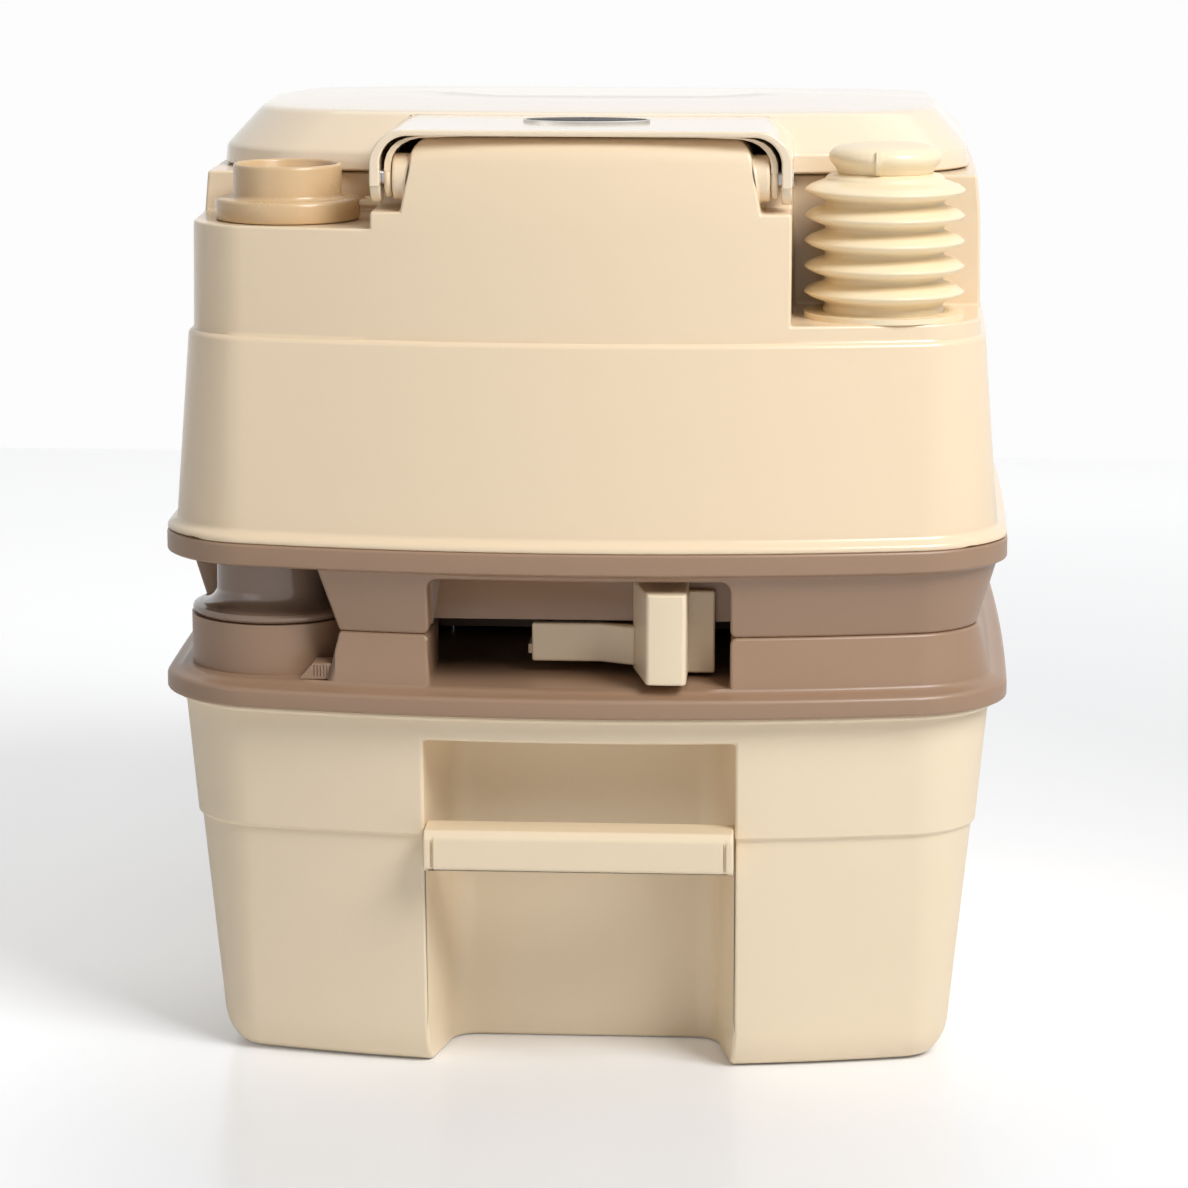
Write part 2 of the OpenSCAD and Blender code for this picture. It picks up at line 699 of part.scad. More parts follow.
module flush_tank() color(cream) {
    difference() {
        union() {
            difference() {
                shell_form(0, shell_z, seat_deck_z);
                top_cuts(0);
                difference() {
                    shell_form(wall, floor_z + wall, seat_deck_z - wall);
                    top_cuts(wall);
                }
                // Open space under the tank's floor
                shell_form(wall, shell_z - 1, floor_z);
            }
            hump(0);
            // Bosses of the hinge
            for (s = [-1, 1]) translate([s * (hump_x + boss_w / 2 - 0.2), -hinge_y, hinge_z])
                rotate([0, 90, 0]) cylinder(r = 10, h = boss_w + 0.4, center = true);
            // Neck under the filling cap
            translate([-fill_x, -fill_y, fill_z - wall]) cylinder(r = cap_r - 3.6, h = wall + 6.5);
        }
        hump(wall);
        for (s = [-1, 1]) translate([s * hump_x, -hinge_y, hinge_z]) rotate([0, 90, 0])
            cylinder(r = pin_r, h = 16, center = true);
        translate([0, valve_y, floor_z - 1]) cylinder(r = valve_r + 7, h = wall + 2);
        translate([0, 0, seat_deck_z - wall - 1]) linear_extrude(wall + 3)
            polygon(oval(bowl_w / 2 + bowl_wall + 0.3, bowl_d / 2 + bowl_wall + 0.3, bowl_y));
        translate([-fill_x, -fill_y, fill_z - wall - 1]) cylinder(r = cap_r - 7, h = wall + 20);
        translate([pump_x, -pump_y, well_z - wall - 1]) cylinder(r = root_r - 5, h = wall + 2);
    }
}

module hinge_pins() color(steel) {
    for (s = [-1, 1]) translate([s * (hump_x + 3), -hinge_y, hinge_z]) rotate([0, 90, 0])
        cylinder(r = pin_r, h = 21, center = true);
}

// BOWL

neck_top_z = floor_z + wall + 2;

// Oval funnel, t outside the bowl's inner surface
module bowl_form(t, z_top) {
    a = bowl_w / 2;
    b = bowl_d / 2;
    h = seat_deck_z - neck_top_z;
    loft([
        [neck_top_z, oval(valve_r + t, valve_r + t, valve_y)],
        [neck_top_z + 0.22 * h, oval(a * 0.56 + t, b * 0.50 + t, valve_y + 4)],
        [neck_top_z + 0.48 * h, oval(a * 0.73 + t, b * 0.68 + t, valve_y + 9)],
        [neck_top_z + 0.75 * h, oval(a * 0.88 + t, b * 0.86 + t, bowl_y - 3)],
        [seat_deck_z - 12, oval(a * 0.97 + t, b * 0.97 + t, bowl_y)],
        [z_top, oval(a + t, b + t, bowl_y)]]);
}

module bowl() color(cream) {
    rim_z = seat_deck_z + 2.2;
    difference() {
        union() {
            bowl_form(bowl_wall, rim_z);
            translate([0, 0, seat_deck_z]) linear_extrude(2.2)
                polygon(oval(bowl_w / 2 + 12, bowl_d / 2 + 12, bowl_y));
            translate([0, valve_y, mate_z + seat_gap]) cylinder(r = valve_r + 4, h = neck_top_z - mate_z + 6);
        }
        bowl_form(0, rim_z + 0.2);
        translate([0, valve_y, mate_z - 1]) cylinder(r = valve_r - 0.6, h = neck_top_z - mate_z + 2);
        translate([nozzle_x, -nozzle_y, nozzle_z]) rotate([0, 90, 0]) cylinder(r = 7, h = 60, center = true);
    }
}

module bowl_gasket() color(rubber) {
    translate([0, valve_y, floor_z]) tube(valve_r + 7, valve_r + 4 + seat_gap, wall);
}

// PUMP AND FLUSH LINE

nozzle_x = 0.19 * bowl_w;
nozzle_y = 0.45 * bowl_d - bowl_y;
nozzle_z = seat_deck_z - 16;
hose_r = 6;
port_z = well_z - wall - 12;

module at_pump(z = 0) {
    translate([pump_x, -pump_y, z]) children();
}

module pump_base() color(warm_cream) {
    difference() {
        union() {
            at_pump(well_z) cylinder(r = crest_r, h = 2.4);
            at_pump(well_z + 2.4) cylinder(r = root_r - bellows_t - 0.4, h = 4);
            at_pump(well_z - wall - 21) cylinder(r = root_r - 5, h = wall + 23);
            at_pump(port_z) rotate([-90, 0, 0]) cylinder(r = hose_r + 2, h = root_r + 4);
        }
        at_pump(well_z - wall - 14) cylinder(r = root_r - 8, h = 60);
        at_pump(well_z - wall - 22) cylinder(r = hose_r - 2, h = 10);
        at_pump(port_z) rotate([-90, 0, 0]) translate([0, 0, 10]) cylinder(r = hose_r - 2, h = root_r);
        at_pump(well_z - wall - 22) cylinder(r = hose_r, h = 5);
    }
}

module suction_flap() color(rubber) {
    at_pump(well_z - wall - 14) cylinder(r = hose_r + 1, h = 1.2);
}

module delivery_flap() color(rubber) {
    at_pump(port_z) rotate([-90, 0, 0]) translate([0, 0, root_r + 4]) tube(hose_r - 0.2, 1.5, 1.2);
}

module intake_tube() color(pale_cream) {
    top = well_z - wall - 17;
    at_pump(floor_z + wall + 4) tube(hose_r, hose_r - 2, top - floor_z - wall - 4);
}

// Hose from the pump's port up and across to the nozzle
module hose_line(r, over) {
    run_y = -nozzle_y;
    bend = 12;
    start_y = -pump_y + root_r + 5.2;
    translate([pump_x, start_y - over, port_z]) rotate([-90, 0, 0])
        cylinder(r = r, h = run_y - bend - start_y + over);
    translate([pump_x, run_y - bend, port_z + bend]) rotate([0, 90, 0])
        rotate_extrude(angle = 90) translate([bend, 0]) circle(r = r);
    translate([pump_x, run_y, port_z + bend]) cylinder(r = r, h = nozzle_z - port_z - 2 * bend);
    translate([pump_x - bend, run_y, nozzle_z - bend]) rotate([90, 0, 0])
        rotate_extrude(angle = 90) translate([bend, 0]) circle(r = r);
    translate([nozzle_x + 16 - over, run_y, nozzle_z]) rotate([0, 90, 0])
        cylinder(r = r, h = pump_x - bend - nozzle_x - 16 + over);
}

module flush_hose() color(rubber) {
    difference() {
        hose_line(hose_r, 0);
        hose_line(hose_r - 2, 1);
    }
}

module flush_nozzle() color(pale_cream) {
    translate([nozzle_x - 14, -nozzle_y, nozzle_z]) rotate([0, 90, 0]) difference() {
        cylinder(r = 7, h = 30);
        translate([0, 0, -1]) cylinder(r = hose_r - 2, h = 32);
    }
}

bellows_z = well_z + 2.4;
bellows_h = fold_n * fold_p + 4.9;
knob_z = bellows_z + bellows_h;

// Half section of the bellows, from its foot up, moved out by t
function fold_line(t) = concat(
    [[root_r + t, 0]],
    [for (i = [0:fold_n - 1]) each [
        [root_r + t, i * fold_p + 3.2],
        [crest_r - 1.4 + t * 0.6, i * fold_p + 3.2 + fold_p * 0.40],
        [crest_r + t * 0.3, i * fold_p + 3.2 + fold_p * 0.46],
        [crest_r - 1.4 + t * 0.6, i * fold_p + 3.2 + fold_p * 0.54]]],
    [[root_r + t, fold_n * fold_p + 3.2], [root_r - 5 + t, bellows_h]]);

module bellows() color(warm_cream) {
    inner = fold_line(-bellows_t);
    at_pump(bellows_z) rotate_extrude() polygon(concat(fold_line(0),
        [for (i = [len(inner) - 1:-1:0]) inner[i]]));
}

module pump_knob() color(warm_cream) {
    at_pump(knob_z) rotate_extrude() polygon(concat(
        [[0, 0], [root_r - 5, 0], [root_r - 4.4, 2.5]],
        [for (i = [0:8]) [knob_r - 3 + 3 * cos(-90 + 20 * i), 7 + 4 * sin(-90 + 20 * i)]],
        [for (i = [0:8]) [(knob_r - 3) * cos(10 * i + 5), 10.6 + 2.4 * sin(10 * i + 5)]],
        [[0, 13]]));
}

// FILLING CAP

module at_fill(z = 0) {
    translate([-fill_x, -fill_y, z]) children();
}

module fill_cap_seal() color(rubber) {
    at_fill(fill_z + 6.5) tube(cap_r - 3.7, cap_r - 6.8, 1.2);
}

module fill_cap() color(warm_cream) {
    disc_z = fill_z + seat_gap;
    top_z = fill_z + cap_disc_h;
    floor_t = top_z - fill_z - 7.7;
    difference() {
        at_fill() rotate_extrude() polygon([
            [0, disc_z], [cap_r - 0.6, disc_z], [cap_r, disc_z + 0.6], [cap_r, top_z - 1.6],
            [cap_r - 1.6, top_z], [cup_r + 1, top_z], [cup_r - 0.4, top_z + 1.2],
            [cup_r, top_z + cup_h - 0.8], [cup_r - 0.8, top_z + cup_h],
            [cup_r - cup_wall + 0.8, top_z + cup_h], [cup_r - cup_wall, top_z + cup_h - 0.8],
            [cup_r - cup_wall - 0.4, fill_z + 7.7 + floor_t], [0, fill_z + 7.7 + floor_t]]);
        at_fill(fill_z - 1) cylinder(r = cap_r - 3.6 + run_gap, h = 8.7);
    }
}

module cap_tether() color(warm_cream) {
    x0 = -fill_x + cap_r + seat_gap;
    z = fill_z + cap_disc_h - 3;
    block([x0, -fill_y - 5, z], [-tower_x, -fill_y + 5, z + 1.6]);
    translate([x0 + 4.5, -fill_y, z]) cylinder(r = 2.5, h = 3.2);
}

// SEAT AND LID

seat_z = seat_deck_z + seat_lift;
seat_front = half_d - 27;
seat_back = -corner_y + 12;
seat_yc = (seat_front + seat_back) / 2;
seat_hd = (seat_front - seat_back) / 2;
lid_front = half_d - 19;
lid_back = -corner_y - 12;
lid_yc = (lid_front + lid_back) / 2;
lid_hd = (lid_front - lid_back) / 2;
lid_low_z = seat_deck_z + 0.6;
seat_arm_x = tower_x - lid_arm_t - 1.5;
plate_z = seat_deck_z + lid_h - 5.5;
boss_w = seat_arm_x - seat_arm_t - seat_gap - hump_x;

function seat_ring(z, d) = [z, plan(seat_w / 2 - d, seat_hd - d, 60, seat_yc)];

module seat() color(cream) {
    difference() {
        union() {
            loft([
                seat_ring(seat_z, 2),
                seat_ring(seat_z + 1.5, 0),
                seat_ring(seat_z + seat_t * 0.55, 0.5),
                seat_ring(seat_z + seat_t * 0.85, 4),
                seat_ring(seat_z + seat_t, 11)]);
            for (s = [-1, 1]) {
                x = s * (seat_arm_x - seat_arm_t / 2);
                along_x(x - seat_arm_t / 2, x + seat_arm_t / 2) polygon([
                    [-hinge_y, hinge_z - 5], [-hinge_y + 16, seat_z - 1], [seat_back + 30, seat_z],
                    [seat_back + 30, seat_z + seat_t * 0.7], [-hinge_y, hinge_z + 8]]);
                translate([x, -hinge_y, hinge_z]) rotate([0, 90, 0])
                    cylinder(r = 9, h = seat_arm_t, center = true);
            }
        }
        translate([0, 0, seat_z - 1]) linear_extrude(seat_t + 2)
            polygon(oval(bowl_w / 2 - 7, bowl_d / 2 - 7, bowl_y));
        translate([0, -hinge_y, hinge_z]) rotate([0, 90, 0])
            cylinder(r = pin_r + run_gap, h = 2 * tower_x + 20, center = true);
    }
}

module seat_bumpers() color(rubber) {
    for (p = [[-1, -60], [1, -60], [-1, 120], [1, 120]])
        translate([p[0] * (bowl_w / 2 + 31), p[1], seat_deck_z]) cylinder(r = 6, h = seat_lift);
}

function lid_ring(z, d, t) = [z, plan(lid_w / 2 - d - t, lid_hd - d - t, max(40 - t, 30), lid_yc)];

// Domed form of the lid, t inside its surface
module dome(t, z_low) {
    h = lid_h;
    loft([
        lid_ring(z_low, 0, t),
        lid_ring(seat_deck_z + 5, 0.6, t),
        lid_ring(seat_deck_z + h * 0.45, 4.4, t),
        lid_ring(seat_deck_z + h * 0.75, 11.5, t),
        lid_ring(seat_deck_z + h * 0.90 - t * 0.7, 19, t),
        lid_ring(seat_deck_z + h * 0.97 - t, 36, t),
        lid_ring(seat_deck_z + h - t, 80, t)]);
}

// Tongue over the hump, t inside its surface
module tongue(t) {
    r = 12 - t;
    half = tower_x - t;
    top = plate_z + 2.6 - t;
    y0 = -hinge_y - 12.5;
    along_y(y0 - (t > 0 ? 10 : 0), lid_back + 50) polygon(concat(
        [[-half, lid_low_z - (t > 0 ? 20 : 0)], [half, lid_low_z - (t > 0 ? 20 : 0)]],
        [for (i = [0:5]) [half - r + r * cos(18 * i), top - r + r * sin(18 * i)]],
        [for (i = [5:-1:0]) [-half + r - r * cos(18 * i), top - r + r * sin(18 * i)]]));
}

module lid() color(cream) {
    arm_x = tower_x - lid_arm_t / 2;
    // Room for the hump between the arms
    gap_x = tower_x - lid_arm_t;
    bevel = 6;
    difference() {
        union() {
            difference() {
                union() {
                    dome(0, lid_low_z);
                    tongue(0);
                }
                dome(lid_wall, lid_low_z - 5);
                tongue(lid_arm_t);
                along_y(-hinge_y - 30, lid_back + 40) polygon([
                    [-gap_x, lid_low_z - 10], [gap_x, lid_low_z - 10], [gap_x, plate_z - bevel],
                    [gap_x - bevel, plate_z], [-gap_x + bevel, plate_z], [-gap_x, plate_z - bevel]]);
            }
            for (s = [-1, 1]) {
                translate([s * arm_x, -hinge_y, hinge_z]) rotate([0, 90, 0])
                    cylinder(r = lid_arm_r, h = lid_arm_t, center = true);
                along_x(s * arm_x - lid_arm_t / 2, s * arm_x + lid_arm_t / 2) polygon([
                    [-hinge_y - lid_arm_r, hinge_z], [-hinge_y + lid_arm_r, hinge_z],
                    [-hinge_y + lid_arm_r + 6, lid_low_z + 6], [-hinge_y + lid_arm_r, plate_z],
                    [-hinge_y - lid_arm_r, plate_z]]);
            }
        }
        translate([0, -hinge_y, hinge_z]) rotate([0, 90, 0])
            cylinder(r = pin_r + run_gap, h = 2 * tower_x + 20, center = true);
    }
}

module lid_bumpers() color(rubber) {
    for (p = [[-1, -20], [1, -20], [-1, 90], [1, 90]])
        translate([p[0] * (seat_w / 2 - 30), p[1], seat_z + seat_t + seat_gap])
            cylinder(r = 5, h = lid_h * 0.97 - lid_wall - seat_lift - seat_t - 0.6);
}

// Bare oval plate on the lid
module lid_badge() color([0.16, 0.15, 0.15]) {
    translate([0, -hinge_y + 26, 0]) difference() {
        translate([0, 0, plate_z + 2.6]) linear_extrude(1.2) polygon(oval(27.5, 13, 0));
        translate([0, 0, plate_z + 3.2]) linear_extrude(2) polygon(oval(26, 11.5, 0));
    }
    translate([0, -hinge_y + 26, plate_z + 3.2]) linear_extrude(0.3) polygon(oval(26, 11.5, 0));
}

waste_tank();
waste_tank_cover();
carry_handle();
valve_housing();
housing_screws();
lip_seal();
lower_seal();
spout_collar();
latch_spring();
valve_blade();
valve_handle();
handle_screws();
release_latch();
pour_spout();
spout_seal();
spout_cap_seal();
spout_cap();
upper_base();
flush_tank();
hinge_pins();
bowl();
bowl_gasket();
pump_base();
suction_flap();
delivery_flap();
intake_tube();
flush_hose();
flush_nozzle();
bellows();
pump_knob();
cap_tether();
fill_cap_seal();
fill_cap();
seat();
seat_bumpers();
lid();
lid_bumpers();
lid_badge();
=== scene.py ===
import json
import math

import bmesh
import bpy
from mathutils import Matrix, Vector


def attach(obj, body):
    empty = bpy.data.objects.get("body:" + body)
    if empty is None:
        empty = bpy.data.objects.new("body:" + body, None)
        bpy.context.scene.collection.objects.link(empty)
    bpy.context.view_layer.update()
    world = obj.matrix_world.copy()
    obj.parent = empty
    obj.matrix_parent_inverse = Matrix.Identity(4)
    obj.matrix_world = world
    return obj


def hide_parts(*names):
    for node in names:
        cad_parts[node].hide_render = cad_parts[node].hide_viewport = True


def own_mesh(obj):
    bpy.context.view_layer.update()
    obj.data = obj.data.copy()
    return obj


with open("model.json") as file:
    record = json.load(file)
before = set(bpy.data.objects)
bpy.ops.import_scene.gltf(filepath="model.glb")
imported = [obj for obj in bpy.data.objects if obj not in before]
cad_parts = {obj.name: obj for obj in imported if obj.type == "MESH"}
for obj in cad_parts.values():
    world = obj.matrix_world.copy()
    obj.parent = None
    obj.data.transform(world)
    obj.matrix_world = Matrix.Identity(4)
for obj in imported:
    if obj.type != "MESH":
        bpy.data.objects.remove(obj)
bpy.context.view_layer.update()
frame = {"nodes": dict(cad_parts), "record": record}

nodes = frame["nodes"]
scene = bpy.context.scene


# camera, floor and light

cameraSet = {
    "lens": 121.1,                     # mm on a 36 mm sensor, square frame
    "place": (0.1014, -1.8746, 0.5483),
    "pitch": 11.171,                   # degrees down
    "yaw": 3.237,                      # degrees to the left
    "roll": 0.063,
}


def addCamera(c):
    data = bpy.data.cameras.new("camera")
    data.lens = c["lens"]
    data.sensor_width = 36
    data.clip_start = 0.05
    data.clip_end = 50
    camera = bpy.data.objects.new("camera", data)
    scene.collection.objects.link(camera)
    turn = (Matrix.Rotation(math.radians(c["yaw"]), 4, "Z")
            @ Matrix.Rotation(math.radians(90 - c["pitch"]), 4, "X")
            @ Matrix.Rotation(math.radians(c["roll"]), 4, "Z"))
    camera.matrix_world = Matrix.Translation(c["place"]) @ turn
    scene.camera = camera


lightSet = {
    "key": {"place": (1.4, -1.4, 2.1), "aim": (0, -0.1, 0.2), "size": 1.2, "power": 64},
    "fill": {"place": (-1.6, -1.8, 0.9), "aim": (0, -0.1, 0.2), "size": 1.4, "power": 4},
    "top": {"place": (0.2, 0.5, 2.0), "aim": (0, 0, 0.3), "size": 1.6, "power": 5},
}


def addLight(name, c):
    data = bpy.data.lights.new(name, "AREA")
    data.size = c["size"]
    data.energy = c["power"]
    light = bpy.data.objects.new(name, data)
    light.location = c["place"]
    aim = Vector(c["aim"]) - Vector(c["place"])
    light.rotation_euler = aim.to_track_quat("-Z", "Y").to_euler()
    scene.collection.objects.link(light)


worldSet = {
    "lit": 0.15,                       # diffuse light of the white surroundings
    "seen": 0.98,                      # their brightness to the camera and in reflections
}


def addWorld(c):
    world = bpy.data.worlds.new("whiteStudio")
    scene.world = world
    world.use_nodes = True
    tree = world.node_tree
    tree.nodes.clear()
    seen = tree.nodes.new("ShaderNodeBackground")
    seen.inputs["Color"].default_value = (1, 1, 1, 1)
    seen.inputs["Strength"].default_value = c["seen"]
    lit = tree.nodes.new("ShaderNodeBackground")
    lit.inputs["Color"].default_value = (1, 1, 1, 1)
    lit.inputs["Strength"].default_value = c["lit"]
    path = tree.nodes.new("ShaderNodeLightPath")
    either = tree.nodes.new("ShaderNodeMath")
    either.operation = "MAXIMUM"
    tree.links.new(path.outputs["Is Camera Ray"], either.inputs[0])
    tree.links.new(path.outputs["Is Glossy Ray"], either.inputs[1])
    mix = tree.nodes.new("ShaderNodeMixShader")
    tree.links.new(either.outputs[0], mix.inputs[0])
    tree.links.new(lit.outputs[0], mix.inputs[1])
    tree.links.new(seen.outputs[0], mix.inputs[2])
    out = tree.nodes.new("ShaderNodeOutputWorld")
    tree.links.new(mix.outputs[0], out.inputs["Surface"])


floorSet = {
    "halfWidth": 3.5, "front": -3.0,
    "back": 1.52,                      # where the floor ends behind the object
    "drop": 0.0002,                    # keeps it just clear of the feet
    "colour": (0.93, 0.94, 0.96), "roughness": 0.22, "specular": 0.35,
    "paintedLight": (0.34, 0.09),              # painted light: camera-only glow that lifts the seen floor towards white, from left to right, lightening its shading
    "paintedLightAcross": (-0.3, 0.35),        # x where the painted light's left and right value are reached
    "paintedLightCentreY": -0.33, "paintedLightRing": (0.08, 0.4),     # no painted light round this spot, where the object's shadow stays; full lift outside
    "paintedLightFar": (0.1, 1.3),             # y over which the painted light grows behind the object
}


def addFloor(c):
    bm = bmesh.new()
    bmesh.ops.create_grid(bm, x_segments=1, y_segments=1, size=1)
    for v in bm.verts:
        v.co = Vector((v.co.x * c["halfWidth"], c["front"] if v.co.y < 0 else c["back"], -c["drop"]))
    mesh = bpy.data.meshes.new("floor")
    bm.to_mesh(mesh)
    bm.free()
    floor = bpy.data.objects.new("floor", mesh)
    scene.collection.objects.link(floor)
    mat = bpy.data.materials.new("floorWhite")
    mat.use_nodes = True
    shader = mat.node_tree.nodes["Principled BSDF"]
    shader.inputs["Base Color"].default_value = (*c["colour"], 1)
    shader.inputs["Roughness"].default_value = c["roughness"]
    shader.inputs["Specular IOR Level"].default_value = c["specular"]
    # painted light: the floor glows white to the camera only, lightening its shading on the left and behind
    # the object but not round the object's shadow
    shader.inputs["Emission Color"].default_value = (1, 1, 1, 1)
    new, link = mat.node_tree.nodes.new, mat.node_tree.links.new
    coord, path = new("ShaderNodeTexCoord"), new("ShaderNodeLightPath")
    spot = new("ShaderNodeMapping")
    spot.inputs["Location"].default_value = (0, -c["paintedLightCentreY"], 0)
    away = new("ShaderNodeVectorMath")
    away.operation = "LENGTH"
    ring = new("ShaderNodeMapRange")
    ring.interpolation_type = "SMOOTHSTEP"
    ring.inputs["From Min"].default_value, ring.inputs["From Max"].default_value = c["paintedLightRing"]
    split = new("ShaderNodeSeparateXYZ")
    across = new("ShaderNodeMapRange")
    across.inputs["From Min"].default_value, across.inputs["From Max"].default_value = c["paintedLightAcross"]
    across.inputs["To Min"].default_value, across.inputs["To Max"].default_value = c["paintedLight"]
    near = new("ShaderNodeMath")
    near.operation = "MULTIPLY"
    far = new("ShaderNodeMapRange")
    far.inputs["From Min"].default_value, far.inputs["From Max"].default_value = c["paintedLightFar"]
    far.inputs["To Max"].default_value = c["paintedLight"][0]
    paintedLight = new("ShaderNodeMath")
    paintedLight.operation = "MAXIMUM"
    seen = new("ShaderNodeMath")
    seen.operation = "MULTIPLY"
    link(coord.outputs["Object"], spot.inputs["Vector"])
    link(spot.outputs["Vector"], away.inputs[0])
    link(away.outputs["Value"], ring.inputs["Value"])
    link(coord.outputs["Object"], split.inputs["Vector"])
    link(split.outputs["X"], across.inputs["Value"])
    link(split.outputs["Y"], far.inputs["Value"])
    link(ring.outputs["Result"], near.inputs[0])
    link(across.outputs["Result"], near.inputs[1])
    link(near.outputs[0], paintedLight.inputs[0])
    link(far.outputs["Result"], paintedLight.inputs[1])
    link(paintedLight.outputs[0], seen.inputs[0])
    link(path.outputs["Is Camera Ray"], seen.inputs[1])
    link(seen.outputs[0], shader.inputs["Emission Strength"])
    mesh.materials.append(mat)


addCamera(cameraSet)
for lightName, light in lightSet.items():
    addLight(lightName, light)
addWorld(worldSet)
addFloor(floorSet)
scene.view_settings.view_transform = "Standard"
print("camera, light and floor done")


# materials

surfaceSet = {
    "patchDetail": 4, "patchRoughness": 0.55,
    "patchSpread": (0.35, 0.65),       # noise values that count as no drift and full drift
    "grainDetail": 3, "grainRoughness": 0.6,
    "dullest": 0.6,                    # patch times grain that gives the upper roughness
    "bump": 0.6, "coatRoughness": 0.12,
}


def mouldGroup(c):
    # colour drift, satin patches and fine grain of moulded plastic
    group = bpy.data.node_groups.new("mouldedSurface", "ShaderNodeTree")
    for name, kind in (("Colour", "NodeSocketColor"), ("Shade", "NodeSocketColor"),
                       ("Patch Scale", "NodeSocketFloat"), ("Grain Scale", "NodeSocketFloat"),
                       ("Roughness Low", "NodeSocketFloat"), ("Roughness High", "NodeSocketFloat")):
        group.interface.new_socket(name, in_out="INPUT", socket_type=kind)
    for name, kind in (("Colour", "NodeSocketColor"), ("Roughness", "NodeSocketFloat"),
                       ("Height", "NodeSocketFloat")):
        group.interface.new_socket(name, in_out="OUTPUT", socket_type=kind)
    new, link = group.nodes.new, group.links.new
    gin, gout = new("NodeGroupInput"), new("NodeGroupOutput")
    coord = new("ShaderNodeTexCoord")
    patch = new("ShaderNodeTexNoise")
    patch.inputs["Detail"].default_value = c["patchDetail"]
    patch.inputs["Roughness"].default_value = c["patchRoughness"]
    link(coord.outputs["Object"], patch.inputs["Vector"])
    link(gin.outputs["Patch Scale"], patch.inputs["Scale"])
    spread = new("ShaderNodeMapRange")
    spread.inputs["From Min"].default_value, spread.inputs["From Max"].default_value = c["patchSpread"]
    link(patch.outputs["Fac"], spread.inputs["Value"])
    mix = new("ShaderNodeMix")
    mix.data_type = "RGBA"
    link(spread.outputs["Result"], mix.inputs["Factor"])
    link(gin.outputs["Colour"], mix.inputs["A"])
    link(gin.outputs["Shade"], mix.inputs["B"])
    link(mix.outputs["Result"], gout.inputs["Colour"])
    grain = new("ShaderNodeTexNoise")
    grain.inputs["Detail"].default_value = c["grainDetail"]
    grain.inputs["Roughness"].default_value = c["grainRoughness"]
    link(coord.outputs["Object"], grain.inputs["Vector"])
    link(gin.outputs["Grain Scale"], grain.inputs["Scale"])
    link(grain.outputs["Fac"], gout.inputs["Height"])
    both = new("ShaderNodeMath")
    both.operation = "MULTIPLY"
    link(spread.outputs["Result"], both.inputs[0])
    link(grain.outputs["Fac"], both.inputs[1])
    rough = new("ShaderNodeMapRange")
    rough.inputs["From Max"].default_value = c["dullest"]
    link(both.outputs[0], rough.inputs["Value"])
    link(gin.outputs["Roughness Low"], rough.inputs["To Min"])
    link(gin.outputs["Roughness High"], rough.inputs["To Max"])
    link(rough.outputs["Result"], gout.inputs["Roughness"])
    return group


finishes = {
    # colour, its darker drift, patch and grain scale, roughness range, grain depth in m, coat, specular
    "shellCream": dict(colour=(0.865, 0.690, 0.478), shade=(0.861, 0.686, 0.474), patch=9, grain=900,
                       rough=(0.28, 0.32), depth=0.00003, coat=0.35, specular=0.6),
    "lidCream": dict(colour=(0.885, 0.730, 0.535), shade=(0.881, 0.726, 0.531), patch=7, grain=900,
                     rough=(0.18, 0.22), depth=0.00002, coat=0.8, specular=0.6),
    "tankCream": dict(colour=(0.880, 0.735, 0.535), shade=(0.870, 0.722, 0.520), patch=8, grain=1100,
                      rough=(0.34, 0.44), depth=0.00004, coat=0.05, specular=0.45),
    "handleCream": dict(colour=(0.870, 0.725, 0.520), shade=(0.858, 0.710, 0.505), patch=14, grain=1200,
                        rough=(0.30, 0.40), depth=0.00003, coat=0.05, specular=0.5),
    "frameBrown": dict(colour=(0.345, 0.215, 0.134), shade=(0.337, 0.209, 0.129), patch=10, grain=1500,
                       rough=(0.36, 0.42), depth=0.00005, coat=0.1, specular=0.6),
    "spoutBrown": dict(colour=(0.300, 0.203, 0.145), shade=(0.288, 0.194, 0.137), patch=16, grain=900,
                       rough=(0.12, 0.20), depth=0.00001, coat=0.4, specular=0.5),
    "pumpCream": dict(colour=(0.930, 0.785, 0.545), shade=(0.922, 0.775, 0.530), patch=20, grain=1000,
                      rough=(0.28, 0.38), depth=0.00003, coat=0.1, specular=0.5),
    "capCream": dict(colour=(0.690, 0.480, 0.265), shade=(0.680, 0.470, 0.258), patch=20, grain=1000,
                     rough=(0.24, 0.34), depth=0.00002, coat=0.15, specular=0.5),
    "sealRubber": dict(colour=(0.020, 0.020, 0.021), shade=(0.030, 0.029, 0.028), patch=30, grain=1400,
                       rough=(0.6, 0.75), depth=0.00004, coat=0.0, specular=0.4),
    "badgeDark": dict(colour=(0.024, 0.022, 0.021), shade=(0.034, 0.031, 0.029), patch=60, grain=1600,
                      rough=(0.45, 0.6), depth=0.00001, coat=0.0, specular=0.15),
    "badgeMetal": dict(colour=(0.60, 0.58, 0.55), shade=(0.52, 0.50, 0.47), patch=80, grain=2500,
                       rough=(0.25, 0.38), depth=0.00001, coat=0.0, specular=0.5),
    "steel": dict(colour=(0.62, 0.62, 0.63), shade=(0.55, 0.55, 0.56), patch=60, grain=2500,
                  rough=(0.22, 0.34), depth=0.00001, coat=0.0, specular=0.5),
}


